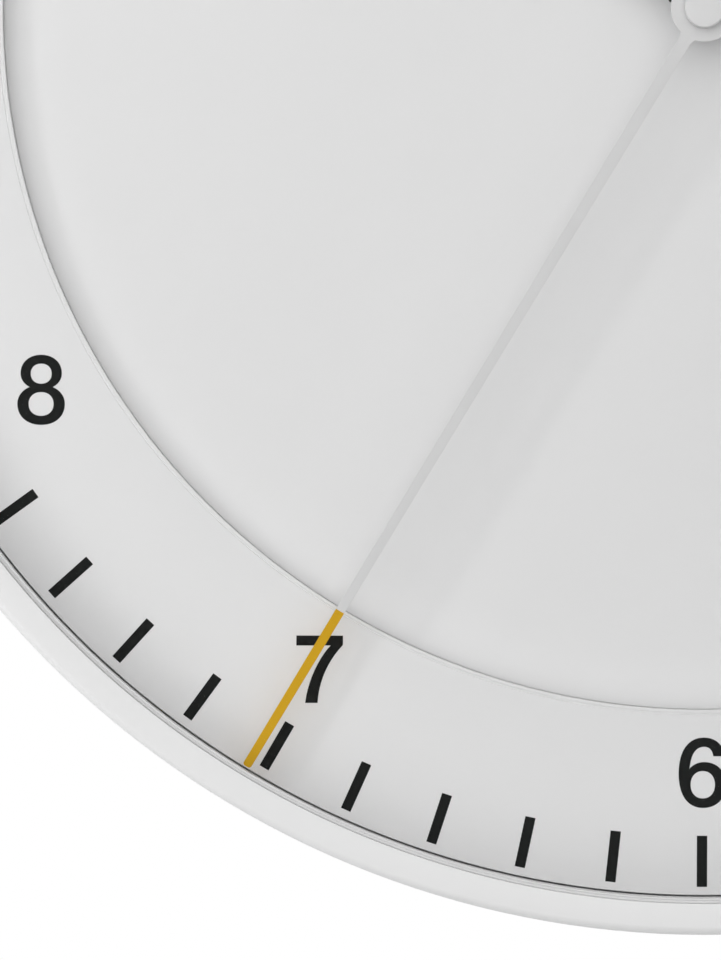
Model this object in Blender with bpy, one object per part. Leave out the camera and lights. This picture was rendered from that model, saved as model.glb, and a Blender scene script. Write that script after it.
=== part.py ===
# Radio-controlled wall clock, 300 mm across.
# The clock is modelled lying on its back: X right, Y up the dial, Z forward from the wall plane.
# One empty then stands it up against the wall, so that its dial faces -Y and its hanging point,
# at the top of the keyhole slot, is the origin.
# Sizes are in metres.

import math

import bpy
import bmesh
from mathutils import Matrix


# Case and lens
CASE_RADIUS = 0.150
CASE_WALL = 0.0027
FACE_ROUND = 0.0013
REAR_CHAMFER = 0.0004
FACE_WIDTH = 0.0045
FACE_BEVEL = 0.0004
LEDGE_WIDTH = 0.0013
LENS_THICKNESS = 0.0020
LENS_CHAMFER = 0.0003
LENS_RECESS = 0.0006
GASKET_THICKNESS = 0.0004
GASKET_WIDTH = 0.0004
LENS_HEADROOM = 0.0016

# Dial
DIAL_THICKNESS = 0.0015
CHAPTER_WIDTH = 0.0300
CHAPTER_THICKNESS = 0.0029
CHAPTER_EDGE_ROUND = 0.0004
CHAPTER_GAP = 0.0003

# Rear panel and its screws
PANEL_RECESS = 0.0017
PANEL_THICKNESS = 0.0020
PANEL_FLANGE_GAP = 0.0012
PANEL_FLANGE_WALL = 0.0020
WINDOW_MARGIN = 0.0020
CASE_SCREW_COUNT = 4
CASE_SCREW_FIRST_ANGLE = math.radians(45)
BOSS_RADIUS = 0.0040
BOSS_DEPTH = 0.0160
CASE_SCREW_LENGTH = 0.0120

# Hanger plate with its keyhole
HANG_DROP = 0.0460
HANGER_WIDTH = 0.0360
HANGER_HEIGHT = 0.0300
HANGER_THICKNESS = 0.0010
HANGER_TOP_MARGIN = 0.0080
SLOT_RADIUS = 0.0026
KEYHOLE_RADIUS = 0.0052
KEYHOLE_DROP = 0.0110
POCKET_DEPTH = 0.0035
POCKET_WALL = 0.0020
HANGER_SCREW_SPREAD = 0.0280
HEAD_WINDOW_WIDTH = 0.0200
HANGER_SCREW_LENGTH = 0.0042

# Movement box
MOVEMENT_SETBACK = 0.0060
MOVEMENT_CORNER = 0.0030
COVER_WALL = 0.0015
HOUSING_WALL = 0.0016
COVER_SCREW_LENGTH = 0.0090
COVER_POST_INSET = 0.0045
COVER_POST_UPPER = 0.0130
COVER_POST_LOWER = -0.0215
POST_RADIUS = 0.0021

# Gear train
DRIVE_MODULE = 0.00052
MOTION_MODULE = 0.00048
DRIVE_PINION_TEETH = 6
CENTRE_WHEEL_TEETH = 36
MIDDLE_WHEEL_TEETH = 30
CANNON_TEETH = 10
MOTION_WHEEL_TEETH = 30
MOTION_PINION_TEETH = 8
HOUR_WHEEL_TEETH = 32
TRAIN_SLOPE = math.radians(20)
WHEEL_THICKNESS = 0.0010
LEVEL_PITCH = 0.0024
PINION_OVERHANG = 0.0004
WHEEL_ADDENDUM = 0.8
PINION_ADDENDUM = 0.7
DEDENDUM = 1.1
WHEEL_ROOT_HALF = 0.28
WHEEL_TIP_HALF = 0.10
PINION_ROOT_HALF = 0.20
PINION_TIP_HALF = 0.07

# Arbors, pipes and bush
SECOND_ARBOR_RADIUS = 0.0006
MINUTE_PIPE_WALL = 0.0006
HOUR_PIPE_WALL = 0.0007
BUSH_WALL = 0.0009
MIDDLE_ARBOR_RADIUS = 0.0006
MOTION_STUD_RADIUS = 0.0007
PIVOT_DEPTH = 0.0009
WASHER_THICKNESS = 0.0005
NUT_THICKNESS = 0.0020
NUT_WIDTH = 0.0094
BUSH_OVER_NUT = 0.0004

# Train plate, motors
PLATE_THICKNESS = 0.0012
PLATE_STANDOFF = 0.0025
PLATE_WIDTH = 0.0450
PLATE_TOP = 0.0155
PLATE_BOTTOM = 0.0190
TRAIN_SCREW_LENGTH = 0.0060
STATOR_THICKNESS = 0.0008
STATOR_HALF_WIDTH = 0.0041
MAGNET_RADIUS = 0.0030
MAGNET_HEIGHT = 0.0024
MAGNET_GAP = 0.0004
COIL_SIDE_GAP = 0.0010
COIL_RADIUS = 0.0034
COIL_WINDING_RADIUS = 0.0029
COIL_FLANGE = 0.0008
COIL_LENGTH = 0.0180
COIL_CENTRE = -0.0050
CORE_WIDTH = 0.0028
CORE_FOOT = 0.0030

# Circuit board, buttons and receiver
BOARD_SIDE_GAP = 0.0014
BOARD_THICKNESS = 0.0012
BOARD_BOTTOM = 0.0185
BOARD_TOP_GAP = 0.0009
BOARD_LEVEL = 0.0124
BOARD_POST_INSET = 0.0040
BOARD_POST_HEIGHT = 0.0220
BOARD_SCREW_LENGTH = 0.0050
BUTTON_RADIUS = 0.0022
BUTTON_SPACING = 0.0150
BUTTON_ROW = 0.0245
BUTTON_PROUD = 0.0008
BUTTON_TRAVEL = 0.0008
BUTTON_FLANGE = 0.0008
BUTTON_STEM = 0.0007
SWITCH_SIDE = 0.0044
SWITCH_BODY = 0.0012
ANTENNA_RADIUS = 0.0040
ANTENNA_SIDE_GAP = 0.0054
ANTENNA_TOP_GAP = 0.0022
ANTENNA_ROW = 0.0310
ANTENNA_LEVEL = 0.0200
ANTENNA_COIL_RADIUS = 0.0052
ANTENNA_COIL_LENGTH = 0.0240
CRADLE_INSET = 0.0060
CRADLE_WIDTH = 0.0030
CRYSTAL_RADIUS = 0.0010
CRYSTAL_LENGTH = 0.0060
CHIP_SIDE = 0.0070
CHIP_HEIGHT = 0.0012

# Battery and its bay
BATTERY_RADIUS = 0.00725
BATTERY_LENGTH = 0.0492
BATTERY_NUB_RADIUS = 0.0026
BATTERY_NUB = 0.0013
BATTERY_ROW = -0.0340
BATTERY_INSET = 0.0012
BAY_CLEARANCE = 0.0006
BAY_WALL = 0.0012
BAY_SIDE_GAP = 0.0017
BAY_BOTTOM_GAP = 0.00135
CONTACT_THICKNESS = 0.0004
CONTACT_WIDTH = 0.0100
CONTACT_SPRING = 0.0026

# Hands
HAND_THICKNESS = 0.0008
SECOND_HAND_THICKNESS = 0.0006
HAND_STEP = 0.0007
HOUR_HAND_SHORTFALL = 0.0400
HOUR_HAND_WIDTH = 0.0040
MINUTE_HAND_TIP_GAP = 0.0015
MINUTE_HAND_WIDTH = 0.0034
LOWER_HUB_RADIUS = 0.0053
SECOND_HAND_TIP_GAP = 0.0006
SECOND_HAND_ROOT_WIDTH = 0.00210
SECOND_HAND_TIP_WIDTH = 0.00148
SECOND_HUB_RADIUS = 0.0055
CAP_RADIUS = 0.0033
CAP_HEIGHT = 0.0013
TIME_HOURS = 10
TIME_MINUTES = 10
TIME_SECONDS = 35.19

# Screws
SCREW_SHANK_RADIUS = 0.00105
SCREW_HEAD_RADIUS = 0.0026
SCREW_HEAD_HEIGHT = 0.0010
SCREW_SLOT_WIDTH = 0.0006
SCREW_SLOT_DEPTH = 0.0005
SCREW_HOLE_CLEARANCE = 0.0003

# Clearances
SEAT_GAP = 0.0003
RUNNING_GAP = 0.00018

# Facets around a full turn
CASE_FACETS = 64
PANEL_FACETS = 60
HUB_FACETS = 24
BUTTON_FACETS = 14
SMALL_FACETS = 10


# Heights above the wall plane, from the back to the front
PANEL_REAR = PANEL_RECESS
PANEL_FRONT = PANEL_REAR + PANEL_THICKNESS
COVER_REAR = MOVEMENT_SETBACK
COVER_FRONT = COVER_REAR + COVER_WALL
PLATE_REAR = COVER_FRONT + PLATE_STANDOFF
PLATE_FRONT = PLATE_REAR + PLATE_THICKNESS
STATOR_REAR = PLATE_FRONT + SEAT_GAP
STATOR_FRONT = STATOR_REAR + STATOR_THICKNESS
CORE_REAR = STATOR_FRONT + SEAT_GAP
CORE_FRONT = CORE_REAR + STATOR_THICKNESS
MAGNET_REAR = PLATE_FRONT + MAGNET_GAP
MAGNET_FRONT = MAGNET_REAR + MAGNET_HEIGHT
MIDDLE_LEVEL = MAGNET_FRONT + WHEEL_THICKNESS
SECOND_LEVEL = MIDDLE_LEVEL + LEVEL_PITCH
MINUTE_LEVEL = SECOND_LEVEL + LEVEL_PITCH
MOTION_LEVEL = MINUTE_LEVEL + LEVEL_PITCH
HOUR_LEVEL = MOTION_LEVEL + LEVEL_PITCH
HOUSING_INNER = HOUR_LEVEL + WHEEL_THICKNESS + 2 * SEAT_GAP
HOUSING_FRONT = HOUSING_INNER + HOUSING_WALL
DIAL_REAR = HOUSING_FRONT + SEAT_GAP
DIAL_FRONT = DIAL_REAR + DIAL_THICKNESS
CHAPTER_REAR = DIAL_FRONT + SEAT_GAP
CHAPTER_FRONT = CHAPTER_REAR + CHAPTER_THICKNESS
WASHER_REAR = DIAL_FRONT + SEAT_GAP
NUT_REAR = WASHER_REAR + WASHER_THICKNESS + SEAT_GAP
BUSH_FRONT = NUT_REAR + NUT_THICKNESS + BUSH_OVER_NUT
HOUR_HAND_REAR = BUSH_FRONT + HAND_STEP
HOUR_PIPE_FRONT = HOUR_HAND_REAR + HAND_THICKNESS
MINUTE_HAND_REAR = HOUR_PIPE_FRONT + HAND_STEP
MINUTE_PIPE_FRONT = MINUTE_HAND_REAR + HAND_THICKNESS
SECOND_HAND_REAR = MINUTE_PIPE_FRONT + HAND_STEP
SECOND_HAND_FRONT = SECOND_HAND_REAR + SECOND_HAND_THICKNESS
CAP_REAR = SECOND_HAND_FRONT + SEAT_GAP
CAP_FRONT = CAP_REAR + CAP_HEIGHT
ARBOR_FRONT = CAP_REAR + CAP_HEIGHT / 2
LENS_REAR = CAP_FRONT + LENS_HEADROOM
LENS_FRONT = LENS_REAR + LENS_THICKNESS
GASKET_REAR = LENS_REAR - SEAT_GAP - GASKET_THICKNESS
LEDGE_LEVEL = GASKET_REAR - SEAT_GAP
CASE_FRONT = LENS_FRONT + LENS_RECESS
BOARD_REAR = BOARD_LEVEL
BOARD_FRONT = BOARD_REAR + BOARD_THICKNESS
BATTERY_LEVEL = COVER_REAR + BATTERY_INSET + BATTERY_RADIUS
BAY_FLOOR = BATTERY_LEVEL + BATTERY_RADIUS + SEAT_GAP

# Radii of the case from its outer wall inwards
CASE_BORE = CASE_RADIUS - CASE_WALL
LENS_SEAT_RADIUS = CASE_RADIUS - FACE_WIDTH - FACE_BEVEL
LENS_RADIUS = LENS_SEAT_RADIUS - SEAT_GAP
LEDGE_RADIUS = CASE_RADIUS - FACE_WIDTH - LEDGE_WIDTH
CHAPTER_OUTER_RADIUS = LEDGE_RADIUS - CHAPTER_GAP
CHAPTER_INNER_RADIUS = CHAPTER_OUTER_RADIUS - CHAPTER_WIDTH
DIAL_RADIUS = CASE_BORE - SEAT_GAP
BOSS_ORBIT = CASE_BORE - BOSS_RADIUS + CASE_WALL / 3
PANEL_FLANGE_RADIUS = BOSS_ORBIT - BOSS_RADIUS - PANEL_FLANGE_GAP

# Height of the hanging point above the clock's axis
HANG_HEIGHT = CASE_RADIUS - HANG_DROP

# Lengths of the hands, from the clock's axis
SECOND_HAND_LENGTH = LEDGE_RADIUS - SECOND_HAND_TIP_GAP
MINUTE_HAND_LENGTH = CHAPTER_INNER_RADIUS - MINUTE_HAND_TIP_GAP
HOUR_HAND_LENGTH = MINUTE_HAND_LENGTH - HOUR_HAND_SHORTFALL

# Battery bay, from the clock's axis to its end walls and to its side walls
BAY_LEFT = BATTERY_LENGTH / 2 + 3 * SEAT_GAP + CONTACT_SPRING + CONTACT_THICKNESS
BAY_RIGHT = BATTERY_LENGTH / 2 + BATTERY_NUB + 2 * SEAT_GAP + CONTACT_THICKNESS
BAY_HALF = BATTERY_RADIUS + BAY_CLEARANCE

# The movement box is as large as what it holds
MOVEMENT_WIDTH = 2 * (BAY_LEFT + BAY_WALL + BAY_SIDE_GAP + HOUSING_WALL)
MOVEMENT_BOTTOM = -BATTERY_ROW + BAY_HALF + BAY_WALL + BAY_BOTTOM_GAP + HOUSING_WALL
MOVEMENT_TOP = ANTENNA_ROW + ANTENNA_COIL_RADIUS + ANTENNA_TOP_GAP + HOUSING_WALL
INNER_HALF_WIDTH = MOVEMENT_WIDTH / 2 - HOUSING_WALL
COIL_OFFSET = INNER_HALF_WIDTH - COIL_SIDE_GAP - COIL_RADIUS
BOARD_HALF_WIDTH = INNER_HALF_WIDTH - BOARD_SIDE_GAP
BOARD_TOP = MOVEMENT_TOP - HOUSING_WALL - BOARD_TOP_GAP
ANTENNA_LENGTH = 2 * (INNER_HALF_WIDTH - ANTENNA_SIDE_GAP)

# Radii of the nested arbor, pipes and bush
MINUTE_BORE = SECOND_ARBOR_RADIUS + RUNNING_GAP
MINUTE_PIPE_RADIUS = MINUTE_BORE + MINUTE_PIPE_WALL
HOUR_BORE = MINUTE_PIPE_RADIUS + RUNNING_GAP
HOUR_PIPE_RADIUS = HOUR_BORE + HOUR_PIPE_WALL
BUSH_BORE = HOUR_PIPE_RADIUS + RUNNING_GAP
BUSH_RADIUS = BUSH_BORE + BUSH_WALL

# Places of the gear axes on the dial plane
CENTRE_DISTANCE = DRIVE_MODULE * (CENTRE_WHEEL_TEETH + DRIVE_PINION_TEETH) / 2
MIDDLE_DISTANCE = DRIVE_MODULE * (MIDDLE_WHEEL_TEETH + DRIVE_PINION_TEETH) / 2
MOTION_DISTANCE = MOTION_MODULE * (CANNON_TEETH + MOTION_WHEEL_TEETH) / 2
TRAIN_DIRECTION = (-math.cos(TRAIN_SLOPE), -math.sin(TRAIN_SLOPE))
MIDDLE_PLACE = (CENTRE_DISTANCE * TRAIN_DIRECTION[0], CENTRE_DISTANCE * TRAIN_DIRECTION[1])
ROTOR_PLACE = ((CENTRE_DISTANCE + MIDDLE_DISTANCE) * TRAIN_DIRECTION[0],
               (CENTRE_DISTANCE + MIDDLE_DISTANCE) * TRAIN_DIRECTION[1])
MOTION_PLACE = (0.0, MOTION_DISTANCE)
TRAIN_POSTS = ((0.0, -0.0155), (-0.0160, 0.0120), (0.0160, 0.0120))


def clear_scene():
    for item in list(bpy.data.objects):
        bpy.data.objects.remove(item, do_unlink=True)


def make_material(name, colour, roughness, metallic=0.0, alpha=1.0):
    material = bpy.data.materials.new(name)
    material.use_nodes = True
    shader = material.node_tree.nodes["Principled BSDF"]
    shader.inputs["Base Color"].default_value = (*colour, 1.0)
    shader.inputs["Roughness"].default_value = roughness
    shader.inputs["Metallic"].default_value = metallic
    shader.inputs["Alpha"].default_value = alpha
    material.diffuse_color = (*colour, alpha)
    return material


def add_object(name, bm):
    """Close a bmesh into a new object with its faces pointing out."""
    bmesh.ops.recalc_face_normals(bm, faces=bm.faces)
    mesh = bpy.data.meshes.new(name)
    bm.to_mesh(mesh)
    bm.free()
    item = bpy.data.objects.new(name, mesh)
    bpy.context.scene.collection.objects.link(item)
    return item


def turned(name, profile, facets, place=(0.0, 0.0)):
    """Turn an outline of (radius, height) points about the Z axis."""
    bm = bmesh.new()
    points = [bm.verts.new((radius, 0.0, height)) for radius, height in profile]
    edges = []
    for first, second in zip(points, points[1:] + points[:1]):
        if first.co.x > 0 or second.co.x > 0:
            edges.append(bm.edges.new((first, second)))
    bmesh.ops.spin(bm, geom=points + edges, cent=(0, 0, 0), axis=(0, 0, 1),
                   angle=2 * math.pi, steps=facets, use_merge=True)
    bmesh.ops.remove_doubles(bm, verts=bm.verts, dist=1e-7)
    for vertex in bm.verts:
        vertex.co.x += place[0]
        vertex.co.y += place[1]
    return add_object(name, bm)


def prism(name, outline, bottom, top, place=(0.0, 0.0)):
    """Extrude an outline of (x, y) points between two heights."""
    bm = bmesh.new()
    points = [bm.verts.new((x + place[0], y + place[1], bottom)) for x, y in outline]
    face = bm.faces.new(points)
    grown = bmesh.ops.extrude_face_region(bm, geom=[face])
    raised = [item for item in grown["geom"] if isinstance(item, bmesh.types.BMVert)]
    bmesh.ops.translate(bm, vec=(0, 0, top - bottom), verts=raised)
    return add_object(name, bm)


def circle(radius, facets, phase=0.0):
    step = 2 * math.pi / facets
    angles = [phase + step * k for k in range(facets)]
    return [(radius * math.cos(angle), radius * math.sin(angle)) for angle in angles]


def arc(centre, radius, start, end, steps):
    """Points of an arc, both ends included."""
    points = []
    for k in range(steps + 1):
        angle = start + (end - start) * k / steps
        points.append((centre[0] + radius * math.cos(angle), centre[1] + radius * math.sin(angle)))
    return points


def rectangle(left, right, bottom, top, corner=0.0, steps=3):
    if corner == 0.0:
        return [(left, bottom), (right, bottom), (right, top), (left, top)]
    quarter = math.pi / 2
    points = []
    corners = ((right, top, 0), (left, top, 1), (left, bottom, 2), (right, bottom, 3))
    for x, y, turn in corners:
        centre_x = x - corner if turn in (0, 3) else x + corner
        centre_y = y - corner if turn in (0, 1) else y + corner
        points += arc((centre_x, centre_y), corner, turn * quarter, (turn + 1) * quarter, steps)
    return points


def combine(target, tool, operation):
    """Join or cut one solid with another, which is used up."""
    modifier = target.modifiers.new("combine", 'BOOLEAN')
    modifier.operation = operation
    modifier.object = tool
    graph = bpy.context.evaluated_depsgraph_get()
    mesh = bpy.data.meshes.new_from_object(target.evaluated_get(graph))
    target.modifiers.clear()
    target.data = mesh
    bpy.data.objects.remove(tool, do_unlink=True)
    return target


def join(target, *tools):
    for tool in tools:
        combine(target, tool, 'UNION')
    return target


def cut(target, *tools):
    for tool in tools:
        combine(target, tool, 'DIFFERENCE')
    return target


def rod(radius, bottom, top, place=(0.0, 0.0), facets=SMALL_FACETS):
    return prism("rod", circle(radius, facets), bottom, top, place)


def mirrored(place):
    return (-place[0], place[1])


# Toothed wheels

def toothed(name, teeth, module, bottom, top, phase, leaves=False):
    """A wheel or a pinion whose first tooth points along phase."""
    pitch_radius = teeth * module / 2
    root_half, tip_half, addendum = WHEEL_ROOT_HALF, WHEEL_TIP_HALF, WHEEL_ADDENDUM
    if leaves:
        root_half, tip_half, addendum = PINION_ROOT_HALF, PINION_TIP_HALF, PINION_ADDENDUM
    tip_radius = pitch_radius + module * addendum
    root_radius = pitch_radius - module * DEDENDUM
    pitch = 2 * math.pi / teeth
    outline = []
    for tooth in range(teeth):
        for radius, half in ((root_radius, -root_half), (tip_radius, -tip_half),
                             (tip_radius, tip_half), (root_radius, root_half)):
            angle = phase + (tooth + half) * pitch
            outline.append((radius * math.cos(angle), radius * math.sin(angle)))
    return prism(name, outline, bottom, top)


def meshing_phase(place, teeth, phase, other_place, other_teeth):
    """First-tooth direction of the other gear, so that its gap meets this gear's tooth."""
    along = math.atan2(other_place[1] - place[1], other_place[0] - place[0])
    tooth_part = (along - phase) * teeth / (2 * math.pi)
    return along + math.pi - (0.5 - tooth_part) * 2 * math.pi / other_teeth


# Case, lens and dial

def case_boss_places():
    step = 2 * math.pi / CASE_SCREW_COUNT
    angles = [CASE_SCREW_FIRST_ANGLE + step * k for k in range(CASE_SCREW_COUNT)]
    return [(BOSS_ORBIT * math.cos(angle), BOSS_ORBIT * math.sin(angle)) for angle in angles]


def make_case():
    dial_stop = DIAL_FRONT + SEAT_GAP
    face_edge = CASE_RADIUS - FACE_ROUND
    profile = [(CASE_BORE, 0.0), (CASE_RADIUS - REAR_CHAMFER, 0.0), (CASE_RADIUS, REAR_CHAMFER)]
    profile += arc((face_edge, CASE_FRONT - FACE_ROUND), FACE_ROUND, 0, math.pi / 2, 3)
    profile += [(LENS_SEAT_RADIUS + FACE_BEVEL, CASE_FRONT), (LENS_SEAT_RADIUS, CASE_FRONT - FACE_BEVEL),
                (LENS_SEAT_RADIUS, LEDGE_LEVEL), (LEDGE_RADIUS, LEDGE_LEVEL),
                (LEDGE_RADIUS, dial_stop), (CASE_BORE, dial_stop)]
    case = turned("case", profile, CASE_FACETS)
    boss_rear = PANEL_FRONT + SEAT_GAP
    for place in case_boss_places():
        join(case, rod(BOSS_RADIUS, boss_rear, boss_rear + BOSS_DEPTH, place, 16))
        hole_end = PANEL_REAR + CASE_SCREW_LENGTH + SEAT_GAP
        cut(case, rod(SCREW_SHANK_RADIUS + SCREW_HOLE_CLEARANCE, boss_rear - SEAT_GAP, hole_end, place))
    return case


def make_lens():
    profile = [(0.0, LENS_REAR), (LENS_RADIUS, LENS_REAR), (LENS_RADIUS, LENS_FRONT - LENS_CHAMFER),
               (LENS_RADIUS - LENS_CHAMFER, LENS_FRONT), (0.0, LENS_FRONT)]
    return turned("lens", profile, CASE_FACETS)


def make_gasket():
    inner = LEDGE_RADIUS + (LENS_RADIUS - LEDGE_RADIUS - GASKET_WIDTH) / 2
    front = GASKET_REAR + GASKET_THICKNESS
    profile = [(inner, GASKET_REAR), (inner + GASKET_WIDTH, GASKET_REAR),
               (inner + GASKET_WIDTH, front), (inner, front)]
    return turned("lens_gasket", profile, PANEL_FACETS)


def make_chapter_ring():
    profile = [(CHAPTER_INNER_RADIUS, CHAPTER_REAR), (CHAPTER_OUTER_RADIUS, CHAPTER_REAR),
               (CHAPTER_OUTER_RADIUS, CHAPTER_FRONT)]
    centre = (CHAPTER_INNER_RADIUS + CHAPTER_EDGE_ROUND, CHAPTER_FRONT - CHAPTER_EDGE_ROUND)
    profile += arc(centre, CHAPTER_EDGE_ROUND, math.pi / 2, math.pi, 2)
    return turned("chapter_ring", profile, CASE_FACETS)


def make_dial_disc():
    hole = BUSH_RADIUS + SEAT_GAP
    disc = prism("dial_disc", circle(DIAL_RADIUS, PANEL_FACETS), DIAL_REAR, DIAL_FRONT)
    return cut(disc, rod(hole, DIAL_REAR - DIAL_THICKNESS, DIAL_FRONT + DIAL_THICKNESS, facets=HUB_FACETS))


# Rear panel and hanger

def hanger_outline(clearance=0.0):
    top = HANG_HEIGHT + HANGER_TOP_MARGIN
    half = HANGER_WIDTH / 2
    return (-half - clearance, half + clearance, top - HANGER_HEIGHT - clearance, top + clearance)


def hanger_screw_places():
    row = HANG_HEIGHT - KEYHOLE_DROP / 2
    return [(-HANGER_SCREW_SPREAD / 2, row), (HANGER_SCREW_SPREAD / 2, row)]


def make_rear_panel():
    flange_front = DIAL_REAR - SEAT_GAP
    flange_inner = PANEL_FLANGE_RADIUS - PANEL_FLANGE_WALL
    profile = [(0.0, PANEL_REAR), (DIAL_RADIUS, PANEL_REAR), (DIAL_RADIUS, PANEL_FRONT),
               (PANEL_FLANGE_RADIUS, PANEL_FRONT), (PANEL_FLANGE_RADIUS, flange_front),
               (flange_inner, flange_front), (flange_inner, PANEL_FRONT), (0.0, PANEL_FRONT)]
    panel = turned("rear_panel", profile, PANEL_FACETS)
    beyond = PANEL_REAR - PANEL_THICKNESS
    half = MOVEMENT_WIDTH / 2 + WINDOW_MARGIN
    window = rectangle(-half, half, -MOVEMENT_BOTTOM - WINDOW_MARGIN, MOVEMENT_TOP + WINDOW_MARGIN,
                       MOVEMENT_CORNER + WINDOW_MARGIN)
    cut(panel, prism("window", window, beyond, PANEL_FRONT + PANEL_THICKNESS))
    pocket_floor = PANEL_REAR + POCKET_DEPTH
    tray = rectangle(*hanger_outline(SEAT_GAP + POCKET_WALL), POCKET_WALL)
    join(panel, prism("tray", tray, PANEL_REAR + PANEL_THICKNESS / 2, pocket_floor + PANEL_THICKNESS))
    cut(panel, prism("pocket", rectangle(*hanger_outline(SEAT_GAP)), beyond, pocket_floor))
    slot_top = HANG_HEIGHT + 2 * SLOT_RADIUS
    slot_bottom = HANG_HEIGHT - KEYHOLE_DROP - 2 * KEYHOLE_RADIUS
    head_window = rectangle(-HEAD_WINDOW_WIDTH / 2, HEAD_WINDOW_WIDTH / 2, slot_bottom, slot_top)
    cut(panel, prism("head_window", head_window, beyond, pocket_floor + 2 * PANEL_THICKNESS))
    hole = SCREW_SHANK_RADIUS + SCREW_HOLE_CLEARANCE
    for place in hanger_screw_places():
        cut(panel, rod(hole, beyond, pocket_floor + 2 * PANEL_THICKNESS, place))
    for place in case_boss_places():
        cut(panel, rod(hole, beyond, PANEL_FRONT + PANEL_THICKNESS, place))
    return panel


def make_hanger_plate():
    front = PANEL_REAR + POCKET_DEPTH - SEAT_GAP
    rear = front - HANGER_THICKNESS
    plate = prism("hanger_plate", rectangle(*hanger_outline()), rear, front)
    slot_centre = (0.0, HANG_HEIGHT - SLOT_RADIUS)
    hole_centre = (0.0, HANG_HEIGHT - KEYHOLE_DROP)
    spread = math.asin(SLOT_RADIUS / KEYHOLE_RADIUS)
    keyhole = arc(slot_centre, SLOT_RADIUS, 0, math.pi, 8)
    keyhole += arc(hole_centre, KEYHOLE_RADIUS, math.pi / 2 + spread, 5 * math.pi / 2 - spread, 20)
    cut(plate, prism("keyhole", keyhole, rear - HANGER_THICKNESS, front + HANGER_THICKNESS))
    for place in hanger_screw_places():
        hole = rod(SCREW_SHANK_RADIUS + SCREW_HOLE_CLEARANCE, rear - SEAT_GAP, front + SEAT_GAP, place)
        cut(plate, hole)
    return plate


# Movement box

def movement_outline(inset=0.0):
    half = MOVEMENT_WIDTH / 2 - inset
    return rectangle(-half, half, -MOVEMENT_BOTTOM + inset, MOVEMENT_TOP - inset, MOVEMENT_CORNER - inset)


def cover_screw_places():
    side = MOVEMENT_WIDTH / 2 - COVER_POST_INSET
    return [(x, y) for y in (COVER_POST_UPPER, COVER_POST_LOWER) for x in (-side, side)]


def board_screw_places():
    side = BOARD_HALF_WIDTH - BOARD_POST_INSET
    return [(-side, BOARD_POST_HEIGHT), (side, BOARD_POST_HEIGHT)]


def add_post(housing, place, rear, screw_rear, screw_length):
    """A post on the front wall, with the pilot hole of the screw that is driven into it."""
    join(housing, rod(POST_RADIUS, rear, HOUSING_INNER + HOUSING_WALL / 2, place))
    hole_end = screw_rear + screw_length + SEAT_GAP
    cut(housing, rod(SCREW_SHANK_RADIUS + SCREW_HOLE_CLEARANCE, rear - SEAT_GAP, hole_end, place, 8))


def make_movement_housing():
    wall_rear = COVER_FRONT + SEAT_GAP
    housing = prism("movement_housing", movement_outline(), wall_rear, HOUSING_FRONT)
    cut(housing, prism("inside", movement_outline(HOUSING_WALL), wall_rear - HOUSING_WALL, HOUSING_INNER))
    join(housing, rod(BUSH_RADIUS, HOUSING_INNER + HOUSING_WALL / 2, BUSH_FRONT, facets=HUB_FACETS))
    join(housing, rod(MOTION_STUD_RADIUS, MOTION_LEVEL, HOUSING_INNER + HOUSING_WALL / 2, MOTION_PLACE))
    for side in (-1, 1):
        centre = side * (ANTENNA_LENGTH / 2 - CRADLE_INSET)
        rib = rectangle(centre - CRADLE_WIDTH / 2, centre + CRADLE_WIDTH / 2,
                        ANTENNA_ROW - ANTENNA_RADIUS, ANTENNA_ROW + ANTENNA_RADIUS)
        join(housing, prism("cradle", rib, ANTENNA_LEVEL, HOUSING_INNER + HOUSING_WALL / 2))
    cut(housing, lying_rod(ANTENNA_RADIUS + SEAT_GAP, ANTENNA_LENGTH, ANTENNA_ROW, ANTENNA_LEVEL,
                           HUB_FACETS))
    for place in cover_screw_places():
        add_post(housing, place, wall_rear, COVER_REAR, COVER_SCREW_LENGTH)
    for place in TRAIN_POSTS:
        add_post(housing, place, PLATE_FRONT + SEAT_GAP, PLATE_REAR, TRAIN_SCREW_LENGTH)
    for place in board_screw_places():
        add_post(housing, place, BOARD_FRONT + SEAT_GAP, BOARD_REAR, BOARD_SCREW_LENGTH)
    pivot_top = HOUSING_INNER + PIVOT_DEPTH
    pivot_radius = MIDDLE_ARBOR_RADIUS + RUNNING_GAP
    for place in (MIDDLE_PLACE, mirrored(MIDDLE_PLACE), ROTOR_PLACE, mirrored(ROTOR_PLACE)):
        cut(housing, rod(pivot_radius, HOUSING_INNER - PIVOT_DEPTH, pivot_top, place))
    bore_end = BUSH_FRONT + HOUSING_WALL
    return cut(housing, rod(BUSH_BORE, HOUSING_INNER - HOUSING_WALL, bore_end, facets=HUB_FACETS))


def button_places():
    return [(BUTTON_SPACING * k, BUTTON_ROW) for k in (-1, 0, 1)]


def make_movement_cover():
    cover = prism("movement_cover", movement_outline(), COVER_REAR, COVER_FRONT)
    bottom, top = BATTERY_ROW - BAY_HALF, BATTERY_ROW + BAY_HALF
    outer = rectangle(-BAY_LEFT - BAY_WALL, BAY_RIGHT + BAY_WALL, bottom - BAY_WALL, top + BAY_WALL)
    join(cover, prism("bay", outer, COVER_REAR + COVER_WALL / 2, BAY_FLOOR + BAY_WALL))
    beyond, front = COVER_REAR - COVER_WALL, COVER_FRONT + COVER_WALL
    cut(cover, prism("bay_inside", rectangle(-BAY_LEFT, BAY_RIGHT, bottom, top), beyond, BAY_FLOOR))
    for place in button_places():
        cut(cover, rod(BUTTON_RADIUS + SEAT_GAP, beyond, front, place, BUTTON_FACETS))
    for place in cover_screw_places():
        cut(cover, rod(SCREW_SHANK_RADIUS + SCREW_HOLE_CLEARANCE, beyond, front, place))
    return cover


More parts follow.
